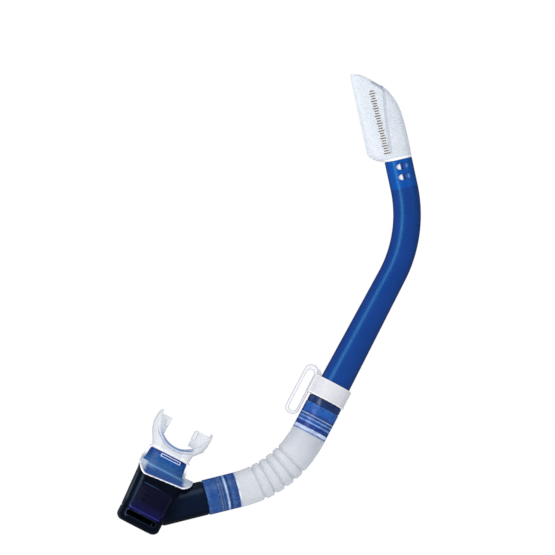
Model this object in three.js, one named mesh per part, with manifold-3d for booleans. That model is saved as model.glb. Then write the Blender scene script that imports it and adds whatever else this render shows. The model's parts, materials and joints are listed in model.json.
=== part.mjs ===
// A snorkel tube: splash hood, oval barrel, strap keeper, corrugated hose between two swivel
// couplers, purge chamber and mouthpiece. Millimetres, +Z up. The centre line of the whole tube
// lies in the XZ plane, and the front is -Y. The origin is on the strap slot's inner face, where a
// mask strap holds the snorkel. A tilt is an angle in degrees from +Z towards +X.
import * as THREE from "three";
import { mergeVertices } from "three/addons/utils/BufferGeometryUtils.js";
import Module from "manifold-3d";

const wasm = await Module();
wasm.setup();

// ---------------------------------------------------------------- driving dimensions

const GAP = 0.3; // clearance between neighbouring pieces
const ROUND = 24; // facets round a tube
const BEYOND = 60; // how far a cutting tool reaches past the piece it cuts

// Straight axes of the tube
const CHAMBER_TILT = 27.1;
const ARM_TILT = 76;
const BARREL_TILT = 27.7;
const HOOD_TILT = -12.6;

// Swivel joints, the same at both ends of the hose
const SPIGOT_RADIUS = 11.2;
const SPIGOT_BORE = 9.6;
const SPIGOT_LENGTH = 26;
const SPIGOT_SINK = 6; // how far the spigot's root overlaps the piece it stands on
const SOCKET_BORE = SPIGOT_RADIUS + GAP;
const SNAP_RADIUS = 12.3;
const SNAP_HEIGHT = 1.6;
const SNAP_DEPTH = 1.2;
const SNAP_FROM_END = 3; // from the spigot's end to the snap ring's underside
const SNAP_SLIT = 3;
const SNAP_GROOVE = SNAP_RADIUS - SNAP_DEPTH - GAP - 0.5; // radius of the groove's floor
const ORING_THICK = 1.2; // radius of the ring's own section
const ORING_FROM_END = 15;
const COUPLER_RADIUS = 13.8;
const COUPLER_RIB = 0.35; // how far a rib stands out
const COUPLER_RIB_PITCH = 2.6;
const COUPLER_RIBS = 3;
const COUPLER_RIB_HALF = 0.7; // half the rib's height
const COUPLER_RIBS_BELOW = 12; // from the coupler's swivel end to the last rib
const COUPLER_CHAMFER = [0.7, 1.2]; // radius lost and height at the free end
const COUPLER_LENGTH = 31.5;
const COLLAR_RADIUS = 16.2;
const COLLAR_HEIGHT = 4;
const COLLAR_LIP = 2.1; // the collar rises this far past the coupler, round the tube's foot

// Hose
const HOSE_BEND_RADIUS = 100.8;
const HOSE_TURN = ARM_TILT - BARREL_TILT;
const HOSE_STRAIGHT = 0.2; // straight length between the arc and the upper coupler's end
const CUFF_RADIUS = 16.4;
const CUFF_BORE = COUPLER_RADIUS + COUPLER_RIB + GAP;
const BELLOWS_BORE = 12.4;
const BELLOWS_CREST = 16.9;
const BELLOWS_ROOT = 14.6;
const BELLOWS_PITCH = 9.2;
const BELLOWS_CRESTS = 4;
const BELLOWS_START = 19.5; // from the lower coupler's end to the first root
const BELLOWS_FLAT = [0.3, 0.7]; // each crest is flat between these shares of the pitch
const BELLOWS_SHOULDER = 2.2; // from an outer root to the cuff's full radius
const BELLOWS_ABOVE = 12; // straight step of the upper cuff above the last root
const BORE_CLEAR = 1.5; // the bore stays wide this far past each coupler

// Barrel
const BARREL_STRAIGHT = 164.5; // from the upper coupler's lower end to the start of the bend
const BARREL_BEND_RADIUS = 120;
const BARREL_TURN = BARREL_TILT - HOOD_TILT;
const BARREL_TOP_STRAIGHT = 25.9;
const BARREL_ABOVE_COLLAR = 1.8;
const BARREL_FOOT = COUPLER_LENGTH + BARREL_ABOVE_COLLAR; // height of the oval tube's lower end
const BARREL_FOOT_HALF = [14.8, 12.2]; // half width in the XZ plane, half depth in Y
const BARREL_TOP_HALF = [12.8, 11.6];
const BARREL_WALL = 1.8;
const SLOT_LENGTH = 11.6;
const SLOT_HEIGHT = 6;
const SLOTS_BELOW_TOP = [6.4, 16.1];
const SLOT_SHIFT = 1.2; // the slots' middle lies this far towards the outside of the bend

// Drain sleeve
const GUTTER = 0.9; // between the barrel's inside and the sleeve
const SLEEVE_WALL = 1.2;
const SLEEVE_BELOW = 26;
const SLEEVE_ABOVE = 3;
const SLEEVE_FOOT = 1.2; // height of the part that touches the barrel's wall
const SLEEVE_FLARE = 4;

// Hood, in its own frame: X across, Z up from the barrel's top
const HOOD_WALL = 1.6;
const HOOD_HEIGHT = 86;
const HOOD_BACK = -27.2; // the straight left edge
const HOOD_TIP_HALF_DEPTH = 3.6;
const HOOD_POCKET = 11; // height at which the left edge becomes straight
const HOOD_POCKET_ROUND = 1.9; // power of the pocket's bottom corner
const HOOD_SLIT = [-9, -0.6]; // air inlet in the top edge, X from and to
const HOOD_SLIT_WIDTH = 5;
const HOOD_SLIT_LOW = 62; // below the top edge at the slit
const BAFFLE_THICK = 1.2;
const BAFFLE_FOOT = [-5.2, 7]; // X and Z of the baffle's lower edge
const BAFFLE_HEAD = [0.4, 66];
const BAFFLE_SAG = 1.2; // how far the baffle bows towards the left edge
const HOOD_TAPER = 1.6; // power of the depth's fall towards the tip
const HOOD_SLIMNESS = 0.45; // how much slimmer the section gets towards the left edge
const HOOD_SLIM_HEIGHT = 14; // where the section has its full slimness
const HOOD_LEAST_WIDTH = 0.8;
const HOOD_LEAST_HALF_DEPTH = 0.5;

// Keeper, in the barrel's frame
const KEEPER_LOW = 34.2;
const KEEPER_HIGH = 52.2;
const KEEPER_WALL = 2.3;
const KEEPER_BOSS_HALF = 7.5; // half depth of the boss beside the strap slot
const KEEPER_BOSS_ROOT = -6; // the boss reaches this X inside the sleeve
const STRAP_SLOT_INNER = -20.7; // X of the slot's side next to the barrel
const STRAP_FACE_HEIGHT = 43; // middle of the flat face at the slot's inner side
const STRAP_SLOT_WIDTH = 8.1;
const STRAP_SLOT_LENGTH = 42;
const STRAP_SLOT_LOW = 11.5;
const LOOP_OUTER_LEG = 2.7;
const LOOP_INNER_LEG = 2;
const LOOP_TOP = 5.2;
const LOOP_FOOT = 3;
const LOOP_DEPTH = 9;

// Chamber, in its own frame
const ARM_RADIUS = 15.9;
const ARM_BORE = 13.2;
const ARM_FROM = 4; // the arm starts this far from the chamber's axis
const ARM_END_WALL = 4; // the shoulder that carries the spigot
const ARM_LENGTH = 61;
const ARM_RISE = 0.2; // where the arm's axis crosses the chamber's, above the purge joint
const ARM_FROM_CHAMBER = THREE.MathUtils.degToRad(ARM_TILT - CHAMBER_TILT);
const CHAMBER_WALL = 2.2;
const CHAMBER_MIDDLE = 0.9; // the housing's middle lies this far towards the arm
const CHAMBER_HALF = 20.4; // half width at the purge joint
const CHAMBER_TOP_HALF = 23.2;
const CHAMBER_HALF_DEPTH = 17;
const CHAMBER_CORNER = 8.5;
const ROOF_RADIUS = 20.2; // curve of the roof across Y
const ROOF_RIDGE = 43.6; // height of the roof's ridge on the chamber axis
const ROOF_SLOPE = 5.1; // degrees the ridge rises towards the arm
const COVER_HEIGHT = 12.6;
const COVER_WALL = 2;
const COVER_ROUND = 6;
const COVER_STEPS = [0, 0.12, 0.35, 0.65, 1]; // shares of the rounding at which it is sampled
const OUTLET_LENGTH = 30;
const OUTLET_HEIGHT = 5;
const OUTLET_BELOW = 3.5; // from the purge joint to the outlet's middle
const PANEL_LENGTH = 33;
const PANEL_SHIFT = 1.5; // the panel's middle lies this far towards the arm
const PANEL_HEIGHT = 25;
const PANEL_MIDDLE = 15.5;
const PANEL_CORNER = 4.5;
const PANEL_THICK = 1.5;
const PANEL_PROUD = 0.5;

// Purge valve
const SEAT_LOW = 1.2;
const SEAT_HIGH = 3.2;
const SEAT_PORT_RADIUS = 10.5;
const SEAT_HUB_RADIUS = 4;
const SEAT_SPOKE = 2;
const SEAT_HOLE = 1.9;
const DIAPHRAGM_RADIUS = 12.6;
const DIAPHRAGM_THICK = 1;
const DIAPHRAGM_RIM = 0.5; // thickness at the edge
const DIAPHRAGM_PAD = [3, 5, 0.6]; // inner and outer radius and height of the middle pad
const STEM_RADIUS = 1.5;
const STEM_BULB = 2.3;
const STEM_BULB_HEIGHTS = [0.4, 2.4, 3]; // above the bulb's foot: widest, shoulder, tip
const VALVE_LIFT = 1.5;

// Mouthpiece and its adapter, in the chamber's frame
const NECK_MIDDLE = -1.5; // the neck's middle lies this far from the chamber's axis
const NECK_TOP_HALF = [18.6, 9.8];
const NECK_FOOT_HALF = [20.2, 12.2];
const NECK_LOW = 46.6;
const NECK_HIGH = 60;
const NECK_WALL = 2;
const NECK_EASE = 0.8; // how far the neck's edges are eased
const PLUG_HALF = [18, 10.2];
const PLUG_LOW = 32;
const SEAL_THICK = 1.1;
const SEAL_HEIGHT = 38.4;
const BOOT_WALL = 2.2;
const BOOT_DROP = 14; // the boot's wall runs this far below the neck's foot, down to the roof
const SKIRT_WALL = 2.2;
const SKIRT_REACH = 3.2; // the skirt's middle lies this far towards the arm
const SKIRT_HALF = 26;
const SKIRT_UPRIGHT = 4.5; // the skirt's edge is upright to this far above the ridge
const LIP_BORE_HALF = [10.5, 6.5];
// Layers of the lip shield's outer form: height, left edge, right edge, half depth
const SHIELD_LAYERS = [
  [62, -19.6, 17.6, 10],
  [68.6, -23, 18.2, 12],
  [74.6, -26.4, 23.7, 13.5],
  [81.6, -28.6, 26.3, 14],
  [89.6, -28.4, 26.7, 13],
  [95.1, -26.6, 26.1, 11],
];
const SHIELD_CENTRE = [-0.2, 94.2]; // X and Z of the cylinder that hollows the shield
const SHIELD_RADIUS = 25;
const SHIELD_FLAT = 2; // half depth left flat between a layer's round corners
const TAB_THICK = 3.6;
const TAB_LOW = 75.6;
const TAB_TOP = 91.6;
const TAB_LEFT = [-26.4, -14.8]; // X of the outer and inner edges
const TAB_RIGHT = [25.6, 9.8];
const TAB_LUG = 9;
const TAB_LUG_WIDTH = 3;
const TAB_LUG_HEIGHT = 9;

// ---------------------------------------------------------------- materials

function plastic(color, roughness, opacity = 1) {
  const transparent = opacity < 1;
  return new THREE.MeshStandardMaterial({ color, roughness, metalness: 0, opacity, transparent });
}

const BLUE_BARREL = () => plastic(0x1c4794, 0.2, 0.9);
const BLUE_COUPLER = () => plastic(0x20479a, 0.25, 0.85);
const CLEAR_HOOD = () => plastic(0xe4ebf2, 0.25, 0.5);
const WHITE_KEEPER = () => plastic(0xeceaee, 0.45);
const DARK_CHAMBER = () => plastic(0x10182a, 0.2, 0.95);
const PANEL_BLUE = () => plastic(0x1a1850, 0.3);
const CLEAR_SILICONE = () => plastic(0xd6dbe2, 0.4, 0.6);
const BLACK_RUBBER = () => plastic(0x15161a, 0.6);
const WHITE_ACETAL = () => plastic(0xe6e6e2, 0.4);

// ---------------------------------------------------------------- geometry helpers

// A geometry's closed surface as a manifold-3d solid.
function solid(geometry) {
  const bare = geometry.clone();
  bare.deleteAttribute("normal");
  bare.deleteAttribute("uv");
  const merged = mergeVertices(bare, 1e-4);
  return new wasm.Manifold(
    new wasm.Mesh({
      numProp: 3,
      vertProperties: new Float32Array(merged.attributes.position.array),
      triVerts: new Uint32Array(merged.index.array),
    }),
  );
}

function geometryOf(body) {
  const mesh = body.getMesh();
  const corners = new Float32Array(mesh.vertProperties);
  const triangles = new Uint32Array(mesh.triVerts);
  const geometry = new THREE.BufferGeometry();
  geometry.setAttribute("position", new THREE.BufferAttribute(corners, 3));
  geometry.setIndex(new THREE.BufferAttribute(triangles, 1));
  geometry.computeVertexNormals();
  return geometry;
}

// A closed skin through rings of points: every ring has the same count, counterclockwise
// seen against the direction of the loft.
function loft(rings) {
  const count = rings[0].length;
  const positions = [];
  const index = [];
  for (const ring of rings) for (const point of ring) positions.push(point.x, point.y, point.z);
  for (let k = 0; k < rings.length - 1; k++) {
    for (let i = 0; i < count; i++) {
      const j = (i + 1) % count;
      const low = k * count;
      const high = low + count;
      index.push(low + i, low + j, high + j, low + i, high + j, high + i);
    }
  }
  const ends = [rings[0], rings[rings.length - 1]];
  ends.forEach((ring, end) => {
    const middle = ring.reduce((sum, point) => sum.add(point), new THREE.Vector3()).divideScalar(count);
    const centre = positions.length / 3;
    positions.push(middle.x, middle.y, middle.z);
    const base = end * (rings.length - 1) * count;
    for (let i = 0; i < count; i++) {
      const j = (i + 1) % count;
      if (end) index.push(centre, base + i, base + j);
      else index.push(centre, base + j, base + i);
    }
  });
  const geometry = new THREE.BufferGeometry();
  geometry.setAttribute("position", new THREE.Float32BufferAttribute(positions, 3));
  geometry.setIndex(index);
  geometry.computeVertexNormals();
  return geometry;
}

// Where a centre line is after a length: straight up +Z, then an arc that turns towards -X,
// then straight again. The tilt is in radians.
function bentPath(straight, radius, turnDegrees) {
  const turn = THREE.MathUtils.degToRad(turnDegrees);
  return (length) => {
    if (length <= straight) return { x: 0, z: length, tilt: 0 };
    const angle = Math.min((length - straight) / radius, turn);
    const rest = length - straight - angle * radius;
    return {
      x: -radius + radius * Math.cos(angle) - rest * Math.sin(angle),
      z: straight + radius * Math.sin(angle) + rest * Math.cos(angle),
      tilt: -angle,
    };
  };
}

// A flat ring of points placed square to the path.
function placed(outline, at) {
  return outline.map(
    ([x, y]) => new THREE.Vector3(at.x + x * Math.cos(at.tilt), y, at.z - x * Math.sin(at.tilt)),
  );
}

function oval(halfX, halfY, count = ROUND) {
  return Array.from({ length: count }, (_, i) => {
    const angle = (2 * Math.PI * i) / count;
    return [halfX * Math.cos(angle), halfY * Math.sin(angle)];
  });
}

// A rectangle with round corners, from x0 to x1 and -halfY to halfY.
function roundedBox(x0, x1, halfY, radius, perCorner = 4) {
  const corners = [
    [x1 - radius, halfY - radius, 0],
    [x0 + radius, halfY - radius, 90],
    [x0 + radius, radius - halfY, 180],
    [x1 - radius, radius - halfY, 270],
  ];
  return corners.flatMap(([cx, cy, start]) =>
    Array.from({ length: perCorner + 1 }, (_, i) => {
      const angle = THREE.MathUtils.degToRad(start + (90 * i) / perCorner);
      return [cx + radius * Math.cos(angle), cy + radius * Math.sin(angle)];
    }),
  );
}

const upright = (z) => ({ x: 0, z, tilt: 0 });

const shifted = (outline, byX) => outline.map(([x, y]) => [x + byX, y]);

// A straight loft up +Z from pairs of height and outline.
function stack(layers) {
  return loft(layers.map(([z, outline]) => placed(outline, upright(z))));
}

// A turned ring: the closed profile holds [radius, height] pairs, counterclockwise.
function turned(profile, segments = ROUND) {
  const points = [...profile, profile[0]].map(([r, z]) => new THREE.Vector2(r, z));
  return new THREE.LatheGeometry(points, segments).rotateX(Math.PI / 2);
}

// A turned body that is solid on its axis: the profile starts and ends on the axis.
function spun(profile, segments = ROUND) {
  const points = profile.map(([r, z]) => new THREE.Vector2(r, z));
  return new THREE.LatheGeometry(points, segments).rotateX(Math.PI / 2);
}

function rod(radius, z0, z1, segments = ROUND) {
  return new THREE.CylinderGeometry(radius, radius, z1 - z0, segments)
    .rotateX(Math.PI / 2)
    .translate(0, 0, (z0 + z1) / 2);
}

function block(x0, x1, y0, y1, z0, z1) {
  const box = new THREE.BoxGeometry(x1 - x0, y1 - y0, z1 - z0);
  return box.translate((x0 + x1) / 2, (y0 + y1) / 2, (z0 + z1) / 2);
}

// A shape drawn in X and Z, made thick from y0 to y1.
function plate(shape, y0, y1, curveSegments = 5) {
  return new THREE.ExtrudeGeometry(shape, { depth: y1 - y0, bevelEnabled: false, curveSegments })
    .rotateX(Math.PI / 2)
    .translate(0, y1, 0);
}

// A slot shape: x0 to x1 and z0 to z1, with half-round ends across its short side.
function slotShape(x0, x1, z0, z1) {
  const shape = new THREE.Shape();
  const wide = x1 - x0 > z1 - z0;
  const r = Math.min(x1 - x0, z1 - z0) / 2;
  if (wide) {
    shape.absarc(x1 - r, z0 + r, r, -Math.PI / 2, Math.PI / 2, false);
    shape.absarc(x0 + r, z0 + r, r, Math.PI / 2, (3 * Math.PI) / 2, false);
  } else {
    shape.absarc(x0 + r, z1 - r, r, 0, Math.PI, false);
    shape.absarc(x0 + r, z0 + r, r, Math.PI, 2 * Math.PI, false);
  }
  shape.closePath();
  return shape;
}

function roundedShape(x0, x1, z0, z1, radius) {
  const shape = new THREE.Shape();
  shape.absarc(x1 - radius, z1 - radius, radius, 0, Math.PI / 2, false);
  shape.absarc(x0 + radius, z1 - radius, radius, Math.PI / 2, Math.PI, false);
  shape.absarc(x0 + radius, z0 + radius, radius, Math.PI, (3 * Math.PI) / 2, false);
  shape.absarc(x1 - radius, z0 + radius, radius, (3 * Math.PI) / 2, 2 * Math.PI, false);
  shape.closePath();
  return shape;
}

function named(name, geometry, material) {
  const mesh = new THREE.Mesh(geometry, material);
  mesh.name = name;
  return mesh;
}

// A group whose +Z is tilted from the parent's +Z towards +X.
function frameAt(x, z, tiltDegrees) {
  const group = new THREE.Group();
  group.position.set(x, 0, z);
  group.rotation.y = THREE.MathUtils.degToRad(tiltDegrees);
  return group;
}

const between = (a, b, share) => a + (b - a) * share;

// ---------------------------------------------------------------- swivel pieces

// The spigot stands on its root at height 0 and points down -Z. Its grooves hold the O-ring
// and the snap ring.
function spigotSolid() {
  const end = -SPIGOT_LENGTH;
  const oring = end + ORING_FROM_END;
  const snap = end + SNAP_FROM_END;
  const oringFloor = SPIGOT_RADIUS - ORING_THICK;
  return solid(
    turned([
      [SPIGOT_BORE, end],
      [SPIGOT_RADIUS, end],
      [SPIGOT_RADIUS, snap - GAP],
      [SNAP_GROOVE, snap - GAP],
      [SNAP_GROOVE, snap + SNAP_HEIGHT + GAP],
      [SPIGOT_RADIUS, snap + SNAP_HEIGHT + GAP],
      [SPIGOT_RADIUS, oring - ORING_THICK - GAP],
      [oringFloor, oring - ORING_THICK - GAP],
      [oringFloor, oring + ORING_THICK + GAP],
      [SPIGOT_RADIUS, oring + ORING_THICK + GAP],
      [SPIGOT_RADIUS, SPIGOT_SINK],
      [SPIGOT_BORE, SPIGOT_SINK],
    ]),
  );
}

// Height 0 is the coupler's free end inside the hose, and the spigot enters from the top.
function couplerGeometry(withCollar) {
  const step = BARREL_FOOT - SPIGOT_LENGTH + SNAP_FROM_END + SNAP_HEIGHT + GAP + GAP;
  const recess = SNAP_RADIUS + GAP;
  const ribsTop = COUPLER_LENGTH - COUPLER_RIBS_BELOW;
  const outer = [
    [COUPLER_RADIUS - COUPLER_CHAMFER[0], 0],
    [COUPLER_RADIUS, COUPLER_CHAMFER[1]],
  ];
  for (let i = COUPLER_RIBS - 1; i >= 0; i--) {
    const z = ribsTop - i * COUPLER_RIB_PITCH;
    outer.push([COUPLER_RADIUS, z - COUPLER_RIB_HALF]);
    outer.push([COUPLER_RADIUS + COUPLER_RIB, z]);
    outer.push([COUPLER_RADIUS, z + COUPLER_RIB_HALF]);
  }
  const top = withCollar
    ? [
        [COUPLER_RADIUS, COUPLER_LENGTH - COLLAR_HEIGHT],
        [COLLAR_RADIUS, COUPLER_LENGTH - COLLAR_HEIGHT],
        [COLLAR_RADIUS, COUPLER_LENGTH + COLLAR_LIP],
        [BARREL_FOOT_HALF[0] + GAP, COUPLER_LENGTH + COLLAR_LIP],
        [BARREL_FOOT_HALF[0] + GAP, COUPLER_LENGTH],
      ]
    : [[COUPLER_RADIUS, COUPLER_LENGTH]];
  return turned([
    [recess, 0],
    ...outer,
    ...top,
    [SOCKET_BORE, COUPLER_LENGTH],
    [SOCKET_BORE, step],
    [recess, step],
  ]);
}

function oringGeometry(height) {
  const inner = SPIGOT_RADIUS - ORING_THICK + GAP;
  const radius = (SOCKET_BORE - GAP / 2 - inner) / 2;
  return new THREE.TorusGeometry(inner + radius, radius, 6, ROUND).translate(0, 0, height);
}

function snapRingGeometry(low) {
  const inner = SNAP_RADIUS - SNAP_DEPTH;
  const ring = solid(
    turned([
      [inner, low],
      [SNAP_RADIUS, low],
      [SNAP_RADIUS, low + SNAP_HEIGHT],
      [inner, low + SNAP_HEIGHT],
    ]),
  );
  const half = SNAP_SLIT / 2;
  const slit = block(0, BEYOND, -half, half, low - 1, low + SNAP_HEIGHT + 1);
  return geometryOf(ring.subtract(solid(slit)));
}

// ---------------------------------------------------------------- barrel and hood

const barrelPath = bentPath(BARREL_STRAIGHT, BARREL_BEND_RADIUS, BARREL_TURN);
const BARREL_ARC = BARREL_BEND_RADIUS * THREE.MathUtils.degToRad(BARREL_TURN);
const BARREL_LENGTH = BARREL_STRAIGHT + BARREL_ARC + BARREL_TOP_STRAIGHT;

function barrelHalf(length, axis) {
  const taper = (length - BARREL_FOOT) / (BARREL_STRAIGHT - BARREL_FOOT);
  const share = THREE.MathUtils.clamp(taper, 0, 1);
  return between(BARREL_FOOT_HALF[axis], BARREL_TOP_HALF[axis], share);
}

// The oval tube's solid, made smaller on all sides by the inset.
function barrelBody(inset, from, to) {
  const bendEnd = BARREL_LENGTH - BARREL_TOP_STRAIGHT;
  const stops = [from, BARREL_STRAIGHT];
  const steps = 8;
  for (let i = 1; i <= steps; i++) stops.push(between(BARREL_STRAIGHT, bendEnd, i / steps));
  stops.push(to);
  const rings = stops.map((length) => {
    const outline = oval(barrelHalf(length, 0) - inset, barrelHalf(length, 1) - inset);
    return placed(outline, barrelPath(length));
  });
  return solid(loft(rings));
}

function barrelGeometry() {
  const shoulder = BARREL_FOOT + SPIGOT_SINK;
  const shell = barrelBody(0, BARREL_FOOT, BARREL_LENGTH).subtract(
    barrelBody(BARREL_WALL, shoulder - 0.5, BARREL_LENGTH + 1),
  );
  const bore = solid(rod(SPIGOT_BORE, BARREL_FOOT - 1, shoulder + 1));
  const spigot = spigotSolid().translate([0, 0, BARREL_FOOT]);
  const body = shell.subtract(bore).add(spigot);
  return geometryOf(body.subtract(drainSlots()));
}

// Both slots, cut through the front and the back of the tube near its top.
function drainSlots() {
  const cuts = SLOTS_BELOW_TOP.map((below) => {
    const low = -below - SLOT_HEIGHT / 2;
    const half = SLOT_LENGTH / 2;
    const shape = slotShape(SLOT_SHIFT - half, SLOT_SHIFT + half, low, low + SLOT_HEIGHT);
    return plate(shape, -BEYOND, BEYOND);
  });
  const top = barrelPath(BARREL_LENGTH);
  const [first, second] = cuts.map((cut) => solid(cut.rotateY(top.tilt).translate(top.x, 0, top.z)));
  return first.add(second);
}

// In the hood's frame: an oval tube inside the barrel's top, flared out to its wall below.
function drainSleeveGeometry() {
  const inside = BARREL_TOP_HALF.map((half) => half - BARREL_WALL);
  const outline = (inset) => oval(inside[0] - inset, inside[1] - inset);
  const outer = stack([
    [-SLEEVE_BELOW, outline(GAP)],
    [-SLEEVE_BELOW + SLEEVE_FOOT, outline(GAP)],
    [-SLEEVE_BELOW + SLEEVE_FLARE, outline(GUTTER)],
    [SLEEVE_ABOVE, outline(GUTTER)],
  ]);
  const inner = stack([
    [-SLEEVE_BELOW - 1, outline(GUTTER + SLEEVE_WALL)],
    [SLEEVE_ABOVE + 1, outline(GUTTER + SLEEVE_WALL)],
  ]);
  return geometryOf(solid(outer).subtract(solid(inner)));
}

// The hood's left and right edges and half depth at a height above the barrel's top.
const hoodRightEdge = new THREE.SplineCurve([
  new THREE.Vector2(12.8, 0),
  new THREE.Vector2(13.2, 16),
  new THREE.Vector2(12.8, 33),
  new THREE.Vector2(11, 48),
  new THREE.Vector2(6.5, 60),
  new THREE.Vector2(0, 69.4),
  new THREE.Vector2(-11.5, 79.2),
  new THREE.Vector2(-18.6, 84),
  new THREE.Vector2(-25.1, HOOD_HEIGHT),
]);

function hoodLeft(z) {
  if (z >= HOOD_POCKET) return HOOD_BACK;
  const share = z / HOOD_POCKET;
  return between(-BARREL_TOP_HALF[0], HOOD_BACK, 1 - (1 - share) ** HOOD_POCKET_ROUND);
}

function hoodHalfDepth(z) {
  const share = z / HOOD_HEIGHT;
  return between(BARREL_TOP_HALF[1], HOOD_TIP_HALF_DEPTH, share ** HOOD_TAPER);
}

// An egg-shaped section: full towards +X, slim towards -X once it is clear of the barrel.
function hoodOutline(left, right, halfDepth, slimness) {
  const middle = (left + right) / 2;
  const half = (right - left) / 2;
  const fullest = 1 + slimness * 0.4;
  return oval(1, 1).map(([c, s]) => {
    const depth = (halfDepth * (1 + slimness * c)) / fullest;
    return [middle + half * c, depth * s];
  });
}

function hoodBody(inset, low) {
  const steps = 14;
  const rings = [];
  for (let i = 0; i <= steps; i++) {
    const edge = hoodRightEdge.getPoint(i / steps);
    const z = edge.y;
    const slimness = HOOD_SLIMNESS * Math.min(1, z / HOOD_SLIM_HEIGHT);
    const left = hoodLeft(z) + inset;
    const right = Math.max(edge.x - inset, left + HOOD_LEAST_WIDTH);
    const depth = Math.max(hoodHalfDepth(z) - inset, HOOD_LEAST_HALF_DEPTH);
    const height = i === 0 ? low : Math.min(z, HOOD_HEIGHT - 1.4 * inset);
    if (i > 0 && height <= rings[rings.length - 1].z + 0.05) continue;
    rings.push({ z: height, points: hoodOutline(left, right, depth, slimness) });
  }
  return solid(loft(rings.map((ring) => placed(ring.points, upright(ring.z)))));
}

function hoodShell() {
  const outer = hoodBody(0, GAP);
  const inner = hoodBody(HOOD_WALL, -1);
  const [halfX, halfY] = BARREL_TOP_HALF.map((half) => half - BARREL_WALL);
  const hole = stack([
    [-1, oval(halfX, halfY)],
    [HOOD_POCKET, oval(halfX, halfY)],
  ]);
  const [slitFrom, slitTo] = HOOD_SLIT;
  const slitHalf = HOOD_SLIT_WIDTH / 2;
  const slit = block(slitFrom, slitTo, -slitHalf, slitHalf, HOOD_SLIT_LOW, HOOD_HEIGHT + 1);
  const floor = solid(block(-BEYOND, BEYOND, -BEYOND, BEYOND, -2, HOOD_WALL));
  return outer.subtract(inner.subtract(floor)).subtract(solid(hole)).subtract(solid(slit));
}

function hoodHalfGeometry(shell, side) {
  const y0 = side < 0 ? -BEYOND : GAP / 2;
  const y1 = side < 0 ? -GAP / 2 : BEYOND;
  const half = solid(block(-BEYOND, BEYOND, y0, y1, -BEYOND, 2 * BEYOND));
  return geometryOf(shell.intersect(half));
}

// A thin curved wall from front to back inside the hood.
function baffleGeometry() {
  const half = BAFFLE_THICK / 2;
  const middleZ = (BAFFLE_FOOT[1] + BAFFLE_HEAD[1]) / 2;
  const middleX = (BAFFLE_FOOT[0] + BAFFLE_HEAD[0]) / 2;
  const shape = new THREE.Shape();
  shape.moveTo(BAFFLE_FOOT[0] - half, BAFFLE_FOOT[1]);
  shape.lineTo(BAFFLE_FOOT[0] + half, BAFFLE_FOOT[1]);
  shape.quadraticCurveTo(middleX + half - BAFFLE_SAG, middleZ, BAFFLE_HEAD[0] + half, BAFFLE_HEAD[1]);
  shape.lineTo(BAFFLE_HEAD[0] - half, BAFFLE_HEAD[1]);
  shape.quadraticCurveTo(middleX - half - BAFFLE_SAG, middleZ, BAFFLE_FOOT[0] - half, BAFFLE_FOOT[1]);
  const wall = solid(plate(shape, -BEYOND, BEYOND));
  return geometryOf(wall.intersect(hoodBody(HOOD_WALL + GAP, 0)));
}

// ---------------------------------------------------------------- keeper

// In the barrel's frame: a sleeve round the oval barrel, a boss, and the closed strap loop.
function keeperGeometry() {
  const wallAt = (length, extra) => {
    const [halfX, halfY] = [barrelHalf(length, 0), barrelHalf(length, 1)];
    return oval(halfX + extra, halfY + extra);
  };
  const sleeve = solid(
    stack([
      [KEEPER_LOW, wallAt(KEEPER_LOW, KEEPER_WALL)],
      [KEEPER_HIGH, wallAt(KEEPER_LOW, KEEPER_WALL)],
    ]),
  );
  const bore = solid(
    stack([
      [KEEPER_LOW - 2, wallAt(KEEPER_LOW, GAP)],
      [KEEPER_LOW, wallAt(KEEPER_LOW, GAP)],
      [KEEPER_HIGH + 2, wallAt(KEEPER_HIGH, GAP)],
    ]),
  );
  const slotOuter = STRAP_SLOT_INNER - STRAP_SLOT_WIDTH;
  const slotHigh = STRAP_SLOT_LOW + STRAP_SLOT_LENGTH;
  const bossHalf = KEEPER_BOSS_HALF;
  const boss = solid(
    block(STRAP_SLOT_INNER - 1, KEEPER_BOSS_ROOT, -bossHalf, bossHalf, KEEPER_LOW, KEEPER_HIGH),
  );
  const loop = solid(
    plate(
      slotShape(
        slotOuter - LOOP_OUTER_LEG,
        STRAP_SLOT_INNER + LOOP_INNER_LEG,
        STRAP_SLOT_LOW - LOOP_FOOT,
        slotHigh + LOOP_TOP,
      ),
      -LOOP_DEPTH / 2,
      LOOP_DEPTH / 2,
    ),
  );
  const opening = slotShape(slotOuter, STRAP_SLOT_INNER, STRAP_SLOT_LOW, slotHigh);
  const slot = solid(plate(opening, -BEYOND, BEYOND));
  return geometryOf(sleeve.add(boss).subtract(bore).add(loop).subtract(slot));
}

// ---------------------------------------------------------------- hose

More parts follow.
